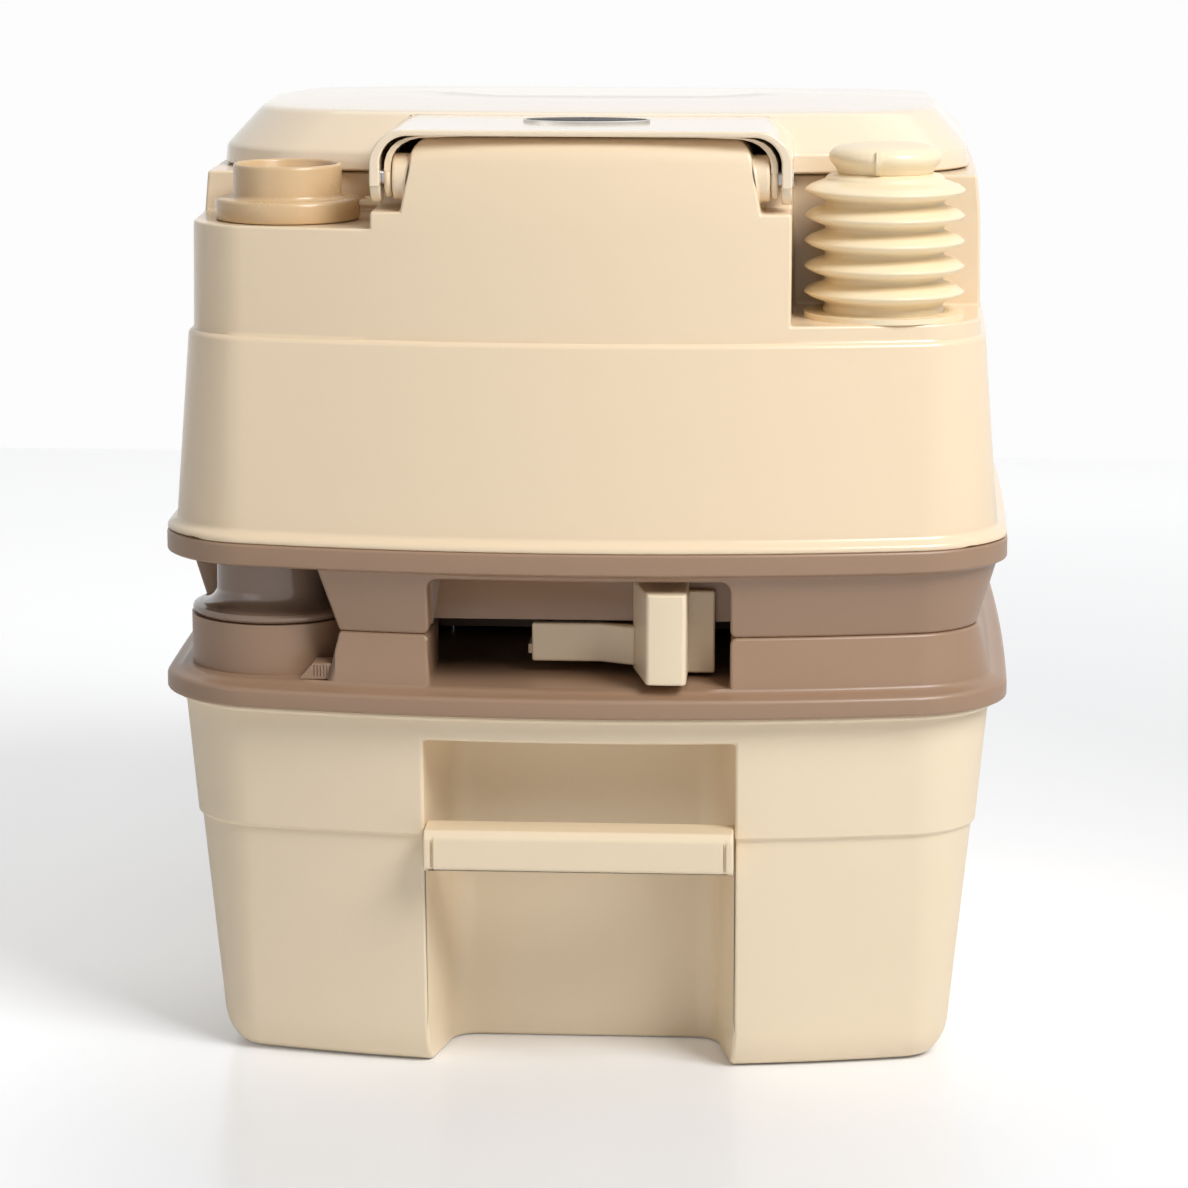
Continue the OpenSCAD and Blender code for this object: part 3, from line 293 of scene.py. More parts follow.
def makeMaterial(name, f, surface):
    mat = bpy.data.materials.new(name)
    mat.use_nodes = True
    tree = mat.node_tree
    shader = tree.nodes["Principled BSDF"]
    group = tree.nodes.new("ShaderNodeGroup")
    group.node_tree = surface
    group.inputs["Colour"].default_value = (*f["colour"], 1)
    group.inputs["Shade"].default_value = (*f["shade"], 1)
    group.inputs["Patch Scale"].default_value = f["patch"]
    group.inputs["Grain Scale"].default_value = f["grain"]
    group.inputs["Roughness Low"].default_value = f["rough"][0]
    group.inputs["Roughness High"].default_value = f["rough"][1]
    bump = tree.nodes.new("ShaderNodeBump")
    bump.inputs["Strength"].default_value = surfaceSet["bump"]
    bump.inputs["Distance"].default_value = f["depth"]
    tree.links.new(group.outputs["Height"], bump.inputs["Height"])
    tree.links.new(group.outputs["Colour"], shader.inputs["Base Color"])
    tree.links.new(group.outputs["Roughness"], shader.inputs["Roughness"])
    tree.links.new(bump.outputs["Normal"], shader.inputs["Normal"])
    shader.inputs["Coat Weight"].default_value = f["coat"]
    shader.inputs["Coat Roughness"].default_value = surfaceSet["coatRoughness"]
    shader.inputs["Specular IOR Level"].default_value = f["specular"]
    if name in ("steel", "badgeMetal"):
        shader.inputs["Metallic"].default_value = 1.0
    return mat


surfaceGroup = mouldGroup(surfaceSet)
materials = {name: makeMaterial(name, f, surfaceGroup) for name, f in finishes.items()}
print("materials done")


# shared modelling helpers, all sizes in mm

body = {
    # plan of the base flange, and how far its ends and sides bow
    "w": 374, "d": 420, "corner": 38.5, "leastCorner": 8, "endSag": 25.2, "sideSag": 3.5,
    # heights where the parts meet
    "deck": 176, "mate": 197.5, "flangeHigh": 226, "shell": 236,
    "cornerSteps": 18, "edgeSteps": 22,
}
halfW, halfD = body["w"] / 2, body["d"] / 2
# cutting tools end well outside: at the sides, in front of an inner space, and above
farSide, farFront, farTop = 400, 300, 500


def planRing(hw, hd, r, yc=0):
    # rectangle with round corners whose ends and sides bow, counter-clockwise
    n, m = body["cornerSteps"], body["edgeSteps"]
    points = []
    for q in range(4):
        cx = (hw - r) * (1 if q in (0, 3) else -1)
        cy = (hd - r) * (1 if q < 2 else -1)
        for i in range(n + 1):
            a = math.radians(90 * (q + i / n))
            points.append((cx + r * math.cos(a), cy + r * math.sin(a)))
        q2 = (q + 1) % 4
        a = math.radians(90 * (q + 1))
        ax, ay = points[-1]
        bx = (hw - r) * (1 if q2 in (0, 3) else -1) + r * math.cos(a)
        by = (hd - r) * (1 if q2 < 2 else -1) + r * math.sin(a)
        for k in range(1, m):
            points.append((ax + (bx - ax) * k / m, ay + (by - ay) * k / m))
    sag, side = body["endSag"] / halfD, body["sideSag"] / halfW
    return [(x * (1 - side * (y / hd) ** 2), y * (1 - sag * (x / hw) ** 2) + yc) for x, y in points]


def inset(z, dx, dy=None):
    dy = dx if dy is None else dy
    return z, planRing(halfW - dx, halfD - dy, max(body["corner"] - dx, body["leastCorner"]))


def oval(a, b, yc, n=96):
    return [(a * math.cos(2 * math.pi * i / n), yc + b * math.sin(2 * math.pi * i / n)) for i in range(n)]


def arc(cx, cy, r, start, end, n=8):
    return [(cx + r * math.cos(math.radians(start + (end - start) * i / n)),
             cy + r * math.sin(math.radians(start + (end - start) * i / n))) for i in range(n + 1)]


def ringMesh(rings):
    # closed solid through rings of equally many points, each (height, points), from low to high
    bm = bmesh.new()
    place = bm.verts.layers.int.new("place")
    made = bmesh.ops.create_circle(bm, cap_ends=True, radius=1, segments=len(rings[0][1]))
    for i, v in enumerate(made["verts"]):
        v[place] = i
        v.co = (*rings[0][1][i], rings[0][0])
    edges = list(bm.edges)
    for z, points in rings[1:]:
        made = bmesh.ops.extrude_edge_only(bm, edges=edges)
        fresh = {g for g in made["geom"] if isinstance(g, bmesh.types.BMVert)}
        edges = [g for g in made["geom"] if isinstance(g, bmesh.types.BMEdge)
                 and g.verts[0] in fresh and g.verts[1] in fresh]
        for v in fresh:
            v.co = (*points[v[place]], z)
    bmesh.ops.edgeloop_fill(bm, edges=edges)
    bmesh.ops.recalc_face_normals(bm, faces=bm.faces)
    return bm


def barMesh(points, axis, low, high):
    # bar through an outline: axis x takes (y, z), axis y takes (x, z), axis z takes (x, y)
    bm = ringMesh([(low, points), (high, points)])
    for v in bm.verts:
        a, b, c = v.co
        v.co = {"x": (c, a, b), "y": (a, c, b), "z": (a, b, c)}[axis]
    bmesh.ops.recalc_face_normals(bm, faces=bm.faces)
    return bm


def boxMesh(low, high):
    bm = bmesh.new()
    bmesh.ops.create_cube(bm, size=1)
    for v in bm.verts:
        v.co = [low[i] if v.co[i] < 0 else high[i] for i in range(3)]
    return bm


def rodMesh(r, start, end, steps):
    # cylinder between two points
    start, end = Vector(start), Vector(end)
    bm = bmesh.new()
    bmesh.ops.create_cone(bm, cap_ends=True, segments=steps, radius1=r, radius2=r,
                          depth=(end - start).length)
    turn = (end - start).to_track_quat("Z", "Y").to_matrix().to_4x4()
    bmesh.ops.transform(bm, matrix=Matrix.Translation((start + end) / 2) @ turn, verts=bm.verts)
    return bm


def upRod(r, axis, low, high, steps):
    # upright cylinder on a vertical axis (x, y)
    return rodMesh(r, (*axis, low), (*axis, high), steps)


poleSlack = 0.0005     # mm, corners that a spin leaves on its axis become one


def spinMesh(outline, centre, steps):
    # body turned round an upright axis from a closed outline of (radius, height)
    bm = bmesh.new()
    verts = [bm.verts.new((r, 0, z)) for r, z in outline]
    edges = [bm.edges.new((verts[i], verts[(i + 1) % len(verts)])) for i in range(len(verts))]
    bmesh.ops.spin(bm, geom=verts + edges, cent=(0, 0, 0), axis=(0, 0, 1), dvec=(0, 0, 0),
                   angle=2 * math.pi, steps=steps, use_merge=True)
    bmesh.ops.remove_doubles(bm, verts=bm.verts, dist=poleSlack)
    flat = [e for e in bm.edges if not e.link_faces]
    bmesh.ops.delete(bm, geom=flat, context="EDGES")
    bmesh.ops.recalc_face_normals(bm, faces=bm.faces)
    bmesh.ops.translate(bm, vec=centre, verts=bm.verts)
    return bm


def makeObject(name, bm):
    bmesh.ops.scale(bm, vec=(0.001, 0.001, 0.001), verts=bm.verts)
    mesh = bpy.data.meshes.new(name)
    bm.to_mesh(mesh)
    bm.free()
    obj = bpy.data.objects.new(name, mesh)
    scene.collection.objects.link(obj)
    return obj


def combine(target, tool, how):
    # joins a tool mesh to the target or cuts it out of it, then throws the tool away
    if tool.calc_volume(signed=True) < 0:
        bmesh.ops.reverse_faces(tool, faces=tool.faces)
    cutter = makeObject("tool", tool)
    mod = target.modifiers.new("cut", "BOOLEAN")
    mod.operation = how
    mod.solver = "EXACT"
    mod.object = cutter
    depsgraph = bpy.context.evaluated_depsgraph_get()
    mesh = bpy.data.meshes.new_from_object(target.evaluated_get(depsgraph))
    target.modifiers.clear()
    old = target.data
    target.data = mesh
    mesh.name = target.name
    bpy.data.meshes.remove(old)
    spare = cutter.data
    bpy.data.objects.remove(cutter)
    bpy.data.meshes.remove(spare)


def cut(target, *tools):
    for tool in tools:
        combine(target, tool, "DIFFERENCE")


def add(target, *tools):
    for tool in tools:
        combine(target, tool, "UNION")


def takeMesh(obj):
    # turns a helper object back into a tool mesh in mm
    bm = bmesh.new()
    bm.from_mesh(obj.data)
    bmesh.ops.scale(bm, vec=(1000, 1000, 1000), verts=bm.verts)
    spare = obj.data
    bpy.data.objects.remove(obj)
    bpy.data.meshes.remove(spare)
    return bm


nodeSlot = {s["node"]: s["material_slot"] for s in frame["record"]["subparts"]}
nodeBody = {n: b for b, names in frame["record"]["behaviour"]["bodies"].items() for n in names}
edgeSegments = 3       # across a rounded edge
cornerSlack = 0.00008  # m, corners nearer than this become one


def inBox(p, low, high):
    return all(a < v < b for a, v, b in zip(low, p, high))


def finishPiece(obj, node, finish, bevel=0.0, angle=32, sharpBoxes=()):
    # cleans the mesh, rounds its edges outside the sharp boxes and hands it over in place of its node
    bm = bmesh.new()
    bm.from_mesh(obj.data)
    bmesh.ops.remove_doubles(bm, verts=bm.verts, dist=cornerSlack)
    bmesh.ops.dissolve_degenerate(bm, edges=bm.edges, dist=cornerSlack)
    bmesh.ops.recalc_face_normals(bm, faces=bm.faces)
    if bm.calc_volume(signed=True) < 0:
        bmesh.ops.reverse_faces(bm, faces=bm.faces)
    if bevel:
        weight = bm.edges.layers.float.new("bevel_weight_edge")
        for e in bm.edges:
            middle = (e.verts[0].co + e.verts[1].co) * 500  # in mm
            sharp = e.is_manifold and e.calc_face_angle() > math.radians(angle)
            left = any(inBox(middle, low, high) for low, high in sharpBoxes)
            e[weight] = 1.0 if sharp and not left else 0.0
    bm.to_mesh(obj.data)
    bm.free()
    obj.data.polygons.foreach_set("use_smooth", [True] * len(obj.data.polygons))
    obj.data.materials.clear()
    obj.data.materials.append(materials[finish])
    if bevel:
        mod = obj.modifiers.new("roundEdges", "BEVEL")
        mod.width = bevel * 0.001
        mod.segments = edgeSegments
        mod.limit_method = "WEIGHT"
        mod.use_clamp_overlap = False
        mod.loop_slide = False
        obj.modifiers.new("evenNormals", "WEIGHTED_NORMAL")
    else:
        obj.data.set_sharp_from_angle(angle=math.radians(angle))
    if node:
        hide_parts(node)
    near = node or obj["near"]
    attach(obj, nodeBody[near])


# flush tank

flushTank = {
    # height over the lower edge, distance inside the base flange
    "side": [(0, 0.9), (0.4, 0.5), (1.2, 0.3), (2.2, 0.5), (2.9, 1.2), (3.5, 2.4), (4.4, 3.8), (6, 4.7),
             (86, 10.9), (86.8, 11.1), (87.5, 11.6), (88, 12.3), (88.3, 13.1), (88.5, 13.3), (135.5, 14),
             (153, 15.6), (161.4, 17.4)],
    "humpTop": 410.4, "humpRound": 13, "shoulder": 10, "humpX": 76.5, "humpLean": 4,
    "humpEndY": -144,                  # where the hump stops on the deck
    "deck": 389, "ledge": 379, "ledgeY": -160, "towerX": 89.5,
    "fillDeck": 371.5, "wellFloor": 331.5, "cornerY": -112,
    "neckR": 27.9, "neckUp": 6.5, "neckBore": 24.5, "pumpBore": 20.9, "drainR": 50,
    "bossR": 10, "bossIn": 13, "bossOut": 3.6,         # hinge bosses, from the hump's side
    "pinBore": 4, "pinDepth": 8,
    "bowlGap": 2.8, "wall": 3, "floor": 262, "edge": 1.3,
}
hingeY, hingeZ = -178, 393
fillAxis = (-130, -146)
pumpAxis = (129.2, -149)
drainAxis = (0, 20)
bowlOval = (104.5, 132, 35)            # half width, half depth and middle y of the bowl's rim
armHole = {"r": 4.05, "reach": 110}    # for the hinge pins, in the arms of the lid and the seat


def hingeRod(r, start, end, steps=32):
    return rodMesh(r, (start, hingeY, hingeZ), (end, hingeY, hingeZ), steps)


def sideInset(side, z):
    # distance inside the base flange at a height over the tank's lower edge
    for (z0, d0), (z1, d1) in zip(side, side[1:]):
        if z0 <= z <= z1:
            return d0 + (d1 - d0) * (z - z0) / (z1 - z0)
    return side[0][1] if z < 0 else side[-1][1]


def shellRings(c, low, high, t=0):
    # the shell's rings between two heights, t inside its surface
    base, r = body["shell"], c["humpRound"]
    apart = 0.1  # no ring comes nearer than this to an end
    side = c["side"] + [(z, x) for x, z in arc(c["side"][-1][1] + r, c["humpTop"] - base - r, r, 180, 90)[1:]]
    between = [(base + z, d) for z, d in side if low + apart < base + z < high - apart]
    rings = [(low, sideInset(side, low - base))] + between + [(high, sideInset(side, high - base))]
    return [inset(z, d + t) for z, d in rings]


def humpSide(c, s, base):
    # everything beside and over one shoulder of the hump
    r, x, top = c["shoulder"], c["humpX"], c["humpTop"]
    lean = c["humpLean"] * (base - c["ledge"]) / (top - r - c["ledge"])
    shoulder = arc(x - c["humpLean"] - r, top - r, r, 0, 86, 12)
    over = top + 30
    points = [(farSide, base), (farSide, over), (shoulder[-1][0], over)] + shoulder[::-1] + [(x - lean, base)]
    return [(s * a, b) for a, b in points]


def towerCuts(c, t):
    # the filling corner and the pump's well, t outside their faces
    x, y = c["towerX"] - t, c["cornerY"] + t
    return [boxMesh((-farSide, -farSide, c["fillDeck"] - t), (-x, y, farTop)),
            boxMesh((x, -farSide, c["wellFloor"] - t), (farSide, y, farTop))]


def addFlushTank(c):
    t, deck = c["wall"], c["deck"]
    tank = makeObject("flushTankShell", ringMesh(shellRings(c, body["shell"], c["humpTop"])))
    hollow = makeObject("hollow", ringMesh(shellRings(c, c["floor"] + t, deck - t, t)))
    cut(hollow, *towerCuts(c, t),
        boxMesh((-farSide, -farSide, c["ledge"] - t), (farSide, c["ledgeY"] + t, farTop)))
    cut(tank, boxMesh((-farSide, c["humpEndY"], deck), (farSide, farSide, farTop)), *towerCuts(c, 0))
    for s in (-1, 1):
        cut(tank,
            barMesh(humpSide(c, s, c["ledge"]), "y", -farSide, c["ledgeY"]),
            barMesh(humpSide(c, s, deck), "y", c["ledgeY"] - 1, c["humpEndY"] + 4))
    add(tank, upRod(c["neckR"], fillAxis, c["fillDeck"] - 2, c["fillDeck"] + c["neckUp"], 96))
    for s in (-1, 1):
        add(tank, hingeRod(c["bossR"], s * (c["humpX"] - c["bossIn"]), s * (c["humpX"] + c["bossOut"]), 72))
    cut(tank, takeMesh(hollow))
    for s in (-1, 1):
        cut(tank, hingeRod(c["pinBore"], s * (c["humpX"] - c["pinDepth"]), s * (c["humpX"] + c["pinDepth"])))
    a, b, y = bowlOval
    gap = c["bowlGap"]
    cut(tank,
        barMesh(oval(a + gap, b + gap, y), "z", deck - 8, deck + 5),
        ringMesh(shellRings(c, body["shell"] - 1, c["floor"], t)),
        upRod(c["drainR"], drainAxis, c["floor"] - 5, c["floor"] + 6, 96),
        upRod(c["neckBore"], fillAxis, c["fillDeck"] - 6, c["fillDeck"] + 20, 96),
        upRod(c["pumpBore"], pumpAxis, c["wellFloor"] - 6, c["wellFloor"] + 4, 72))
    finishPiece(tank, "flush_tank", "shellCream", bevel=c["edge"], angle=45)


addFlushTank(flushTank)
print("flush tank done")


# lid and its rubber studs

lid = {
    "halfW": 169.5, "back": -124, "front": 191, "corner": 40, "base": 389.6,
    # height over the base and distance inside the rim
    "dome": [(0, 0.8), (0.6, 0.1), (1.2, 0), (7.2, 0.5), (8.2, 0.8), (9.1, 1.4), (10, 2.2), (16.6, 8.1),
             (23.4, 14.2), (24.4, 15.3), (25.1, 16.6), (25.5, 18.3), (25.7, 20.5), (26, 28), (26.4, 46),
             (26.8, 66), (27, 95)],
    "fall": 0.05,                      # how steeply the top falls away from the hinge
    "tongueX": 89.5, "tongueY": -190.5, "tongueEnd": -74, "tongueTop": 413.7, "round": 15,
    "armT": 4.5, "armR": 11, "armFoot": 8, "sheetT": 2.6, "wall": 2.1, "edge": 0.9,
    "buffers": [(-20, 412.6), (90, 408.2)],            # y and top of the studs on one side
    "bufferX": 129.5, "bufferR": 5, "bufferLow": 403.3,
}


def lidRing(c, z, d, t=0):
    yc, hd = (c["front"] + c["back"]) / 2, (c["front"] - c["back"]) / 2
    return z, planRing(c["halfW"] - d - t, hd - d - t, c["corner"] - t, yc)


def tongueOutline(c, t=0, low=0):
    x, top, r = c["tongueX"] - (c["armT"] if t else 0), c["tongueTop"] - t, c["round"] - t * 1.3
    base = c["base"] - low
    return ([(-x, base), (x, base)] + arc(x - r, top - r, r, 0, 90, 14)
            + arc(-x + r, top - r, r, 90, 180, 14))


def lidFall(c, y, z):
    # the top falls a little towards the far side
    return c["fall"] * max(0, y) * max(0, z - c["base"]) / c["dome"][-1][0]


def addLid(c):
    base = c["base"]
    cover = makeObject("lidShell", ringMesh([lidRing(c, base + z, d) for z, d in c["dome"]]))
    add(cover, barMesh(tongueOutline(c), "y", c["tongueY"], c["tongueEnd"]))
    t, height = c["wall"], c["dome"][-1][0]
    under = [lidRing(c, base - 5, 0, t)]
    under += [lidRing(c, base + z * (1 - t / height), d, t) for z, d in c["dome"][3:]]
    cut(cover, ringMesh(under),
        barMesh(tongueOutline(c, c["sheetT"], 20), "y", c["tongueY"] - 10, c["tongueEnd"] - 10))
    r, foot, clear = c["armR"], c["armFoot"], 0.01     # the arms stay this clear of the tongue's faces
    arm = [(hingeY - r, hingeZ)] + arc(hingeY, hingeZ, r, 180, 360, 20)[1:] + [
        (hingeY + r + foot, base + 3), (hingeY + r + foot, base + foot), (hingeY - r, base + foot)]
    for s in (-1, 1):
        x0, x1 = s * (c["tongueX"] - c["armT"] + clear), s * (c["tongueX"] - clear)
        add(cover, barMesh(arm, "x", min(x0, x1), max(x0, x1)))
    cut(cover, hingeRod(armHole["r"], -armHole["reach"], armHole["reach"]))
    for v in cover.data.vertices:
        v.co.z -= lidFall(c, v.co.y * 1000, v.co.z * 1000) / 1000
    finishPiece(cover, "lid", "lidCream", bevel=c["edge"], angle=45)


def bufferMesh(c, s, y, top):
    r, low = c["bufferR"], c["bufferLow"]
    outline = [(0, low), (r - 1.2, low), (r - 0.4, low + 0.4), (r, low + 1.4),
               (r, top - 1), (r - 0.4, top), (0, top)]
    return spinMesh(outline, (s * c["bufferX"], y, 0), 40)


def addBuffers(c):
    # rubber studs under the lid
    first, *others = [bufferMesh(c, s, y, top) for s in (-1, 1) for y, top in c["buffers"]]
    part = makeObject("lidBuffers", first)
    add(part, *others)
    finishPiece(part, "lid_bumpers", "sealRubber", angle=40)


addLid(lid)
addBuffers(lid)
print("lid done")


# seat

seat = {
    "halfW": 159.5, "front": 183, "back": -100, "corner": 60, "base": 392,
    # height over the base and distance inside the rim
    "round": [(0, 2.2), (0.5, 0.9), (1.5, 0), (5.5, 0.4), (7.6, 1.6), (9.2, 3.8), (10.3, 7), (10.8, 11),
              (11, 16)],
    "armX": 83.5, "armT": 3, "armR": 9, "openingIn": 7, "edge": 1.4,
    # section (x, z) of the right sheet, its outer face and then its inner one
    "sheet": [(83.4, 396), (83.1, 400), (82.1, 403.4), (80.2, 406.3), (77.3, 408.6), (73.5, 410.1),
              (68.5, 410.8), (50, 410.97), (50, 410.8), (68.3, 410.1), (72.6, 409), (75.8, 407.3),
              (78.3, 405), (79.9, 402.1), (80.5, 399), (80.6, 396)],
    "sheetY": (-186.5, -158),
}


def seatRing(c, z, d):
    yc, hd = (c["front"] + c["back"]) / 2, (c["front"] - c["back"]) / 2
    return c["base"] + z, planRing(c["halfW"] - d, hd - d, c["corner"], yc)


def addSeat(c):
    ring = makeObject("seatRing", ringMesh([seatRing(c, z, d) for z, d in c["round"]]))
    a, b, y = bowlOval
    less, base, r = c["openingIn"], c["base"], c["armR"]
    cut(ring, barMesh(oval(a - less, b - less, y), "z", base - 2, base + 14))
    root = c["back"] + 30              # the arms run into the ring up to here
    arm = arc(hingeY, hingeZ, r, 110, 330, 20) + [
        (hingeY + 16, base - 1), (root, base + 0.2), (root, base + 7), (hingeY + 12, hingeZ + r)]
    for s in (-1, 1):
        x0, x1 = s * (c["armX"] - c["armT"]), s * c["armX"]
        add(ring, barMesh(arm, "x", min(x0, x1), max(x0, x1)))
    cut(ring, hingeRod(armHole["r"], -armHole["reach"], armHole["reach"]))
    finishPiece(ring, "seat", "shellCream", bevel=c["edge"], angle=40)
    # thin sheets that bend from the arms over the shoulders of the hump
    for side, s in (("Left", -1), ("Right", 1)):
        outline = [(s * x, z) for x, z in c["sheet"]]
        sheet = makeObject("seatSheet" + side, barMesh(outline, "y", *c["sheetY"]))
        sheet["near"] = "seat"
        finishPiece(sheet, "", "shellCream", angle=40)


addSeat(seat)
print("seat done")


# waste tank with its hand recess

wasteTank = {
    # height and distances inside the base flange, across and along
    "form": [(0, 37, 32), (0.6, 33.6, 30.2), (2, 30.2, 28.3), (4, 27.6, 26.8), (7, 25.1, 25.3),
             (11, 23.2, 24), (16, 22, 23), (25, 21.2, 22.2), (106.4, 13.4, 14.3), (107, 13.2, 14.1),
             (107.5, 12.6, 13.5), (108, 11.9, 12.8), (108.6, 11.6, 12.5), (160, 7, 8), (160.6, 6.2, 7.2),
             (161, 5, 6), (161.4, 4.2, 5.2), (162, 3.9, 4.9), (164, 3.7, 4.7)],
    # ends of the space inside, before the wall comes off
    "coreLow": (3, 29.5, 28), "coreHigh": [(106, 13.6, 14.4), (168, 7, 8)],
    "wall": 3, "recessX": 67.5, "recessTop": 151, "open": -240, "back": -137, "straight": -183,
    "taper": 7, "round": 12, "edge": 1.8,
}


def recessOutline(c, grow):
    x, back, r = c["recessX"] + grow, c["back"] + grow, c["round"]
    inner = x - c["taper"] - r
    right = [(x, c["open"]), (x, c["straight"])] + arc(inner, back - r, r, 0, 90, 10)
    return right + [(-a, b) for a, b in right[::-1]]


def addWasteTank(c):
    tub = makeObject("wasteTankTub", ringMesh([inset(z, dx, dy) for z, dx, dy in c["form"]]))
    t = c["wall"]
    coreForm = [c["coreLow"]] + c["form"][5:8] + c["coreHigh"]
    core = makeObject("core", ringMesh([inset(z, dx + t, dy + t) for z, dx, dy in coreForm]))
    cut(core, barMesh(recessOutline(c, t), "z", -10, c["recessTop"] + t))
    cut(tub, takeMesh(core), barMesh(recessOutline(c, 0), "z", -10, c["recessTop"]))
    finishPiece(tub, "waste_tank", "tankCream", bevel=c["edge"], angle=50)


addWasteTank(wasteTank)
print("waste tank done")


# carrying handle

carryHandle = {
    "x": 67.1, "front": -205, "depth": 20, "low": 94.5, "high": 112.5, "lip": 2.2, "face": 3,
    "end": 9, "edge": 0.8,
    "grooveIn": 3.6, "grooveHalf": 0.35, "grooveDeep": 0.7,    # fine groove near each end
}


def addCarryHandle(c):
    x, y, low, high = c["x"], c["front"], c["low"], c["high"]
    profile = [(y + 1.4, low), (y + c["depth"], low), (y + c["depth"], high), (y + 2.6, high),
               (y + 1.2, high - 1.6), (y, high - 3.4), (y, low + 1.5)]
    bar = makeObject("carryHandleBar", barMesh(profile, "x", -x, x))
    cut(bar, boxMesh((-x + c["end"], y + c["face"], low + c["lip"]), (x - c["end"], y + 40, high - c["lip"])))
    for s in (-1, 1):
        middle, half = s * (x - c["grooveIn"]), c["grooveHalf"]
        cut(bar, boxMesh((middle - half, y - 2, low - 1), (middle + half, y + c["grooveDeep"], high + 1)))
    finishPiece(bar, "carry_handle", "handleCream", bevel=c["edge"])


addCarryHandle(carryHandle)


# brown cover of the waste tank

tankCover = {
    # height and distances inside the base flange, across and along
    "form": [(164, 0.2, 0.2), (164.5, -0.5, -0.5), (165.5, -1, -1), (170.8, -1, -1), (172, -0.6, -0.6),
             (172.8, 0.4, 0.4), (173, 1.4, 1.4), (173.6, 3.8, 4.0), (174.6, 5.4, 5.8), (176, 6.9, 7.4),
             (197.5, 11.5, 10.7)],
    "wall": 3, "mouth": 65, "mouthRound": 3, "alcoveY": -117, "alcoveLow": -109.3, "alcoveMid": -104.2,
    "drainR": 43, "spoutAxis": (-137.5, -146.5), "spoutR": 25.7, "collarR": 37.5,
    "mouthDeep": -150, "alcoveWall": (-230, -160),
    "slotY": (-191.3, -177.7), "slotTop": 183.6, "edge": 1.3,
    # inner edges along the mating plane and the latch's slot stay sharp
    "sharp": [((-150, -172, 190), (150, 100, farTop)), ((-113, -193, 0), (-99, -176, 185))],
}


def addTankCover(c):
    deck, mate, t, m = body["deck"], body["mate"], c["wall"], c["mouth"]
    part = makeObject("tankCoverBody", ringMesh([inset(z, dx, dy) for z, dx, dy in c["form"]]))
    # open space over the deck, less the walls beside the opening and the alcove
    space = makeObject("space", ringMesh([inset(deck, 7 + t, 7.5 + t), inset(mate + 1, 11.6 + t, 10.8 + t)]))
    low, mid, deep = c["alcoveLow"], c["alcoveMid"], c["mouthDeep"]
    cut(space,
        boxMesh((-m - t, -farFront, deck - 2), (-m, deep, mate + 5)),
        boxMesh((m, -farFront, deck - 2), (m + t, deep, mate + 5)),
        barMesh([(low - 0.2, deck - 1), (low + t, deck - 1), (mid + t, mate + 2), (mid - 0.2, mate + 2)],
                "y", *c["alcoveWall"]))
    side = [(-farSide, deck), (low, deck), (mid, mate), (mid, mate + 9), (-farSide, mate + 9)]
    spout, r = c["spoutAxis"], c["mouthRound"]
    mouth = [(-m, deck), (m, deck)] + arc(m + r, mate - r, r, 180, 90, 6) + [
        (m + r, mate + 5), (-m - r, mate + 5)] + arc(-m - r, mate - r, r, 90, 0, 6)
    cut(part,
        ringMesh([inset(163, 8.5, 10), inset(173, 11, 12)]),
        takeMesh(space),
        barMesh(side, "y", -farSide, c["alcoveY"]),
        barMesh(mouth, "y", -farSide, deep),
        upRod(c["drainR"], drainAxis, deck - 10, deck + 20, 96),
        upRod(c["spoutR"], spout, deck - 10, deck + 20, 72),
        upRod(c["collarR"], spout, deck, deck + 60, 120),
        boxMesh((low - 20, c["slotY"][0], deck), (low + 8, c["slotY"][1], c["slotTop"])))
    finishPiece(part, "waste_tank_cover", "frameBrown", bevel=c["edge"], angle=50, sharpBoxes=c["sharp"])


addTankCover(tankCover)
print("waste tank cover done")


# brown base of the upper section

upperBase = {
    # height and distances inside the base flange, across and along
    "form": [(197.5, 12.6, 11.2), (224.8, 4.3, 5.2), (225.6, 3.2, 3.8), (226, 1.4, 1.6), (226.6, 0.4, 0.4),
             (227.4, 0, 0), (234.4, 0, 0), (235.4, 0.3, 0.3), (236, 1.0, 1.0)],
    "mouth": 65, "mouthUp": 25.4, "mouthRound": 4.5, "pocket": -174, "wall": 3,
    "alcoveY": -117, "alcoveMid": -104.2, "alcoveTop": -113.3, "alcoveWall": (-230, -172),
    "spoutR": 37.7,                    # clears the spout's collar
    "tipX": 15.6, "tipR": 3,           # the left skirt's end, over the alcove
    "edge": 1.3,
    # edges at the flange's top, at the alcove's corner and in the pocket stay sharp
    "sharp": [((-farSide, -farSide, 225.5), (farSide, farSide, farTop)),
              ((-117, -192.5, 205), (-100, -186, farTop)), ((-74, -181, 0), (74, -100, farTop))],
}


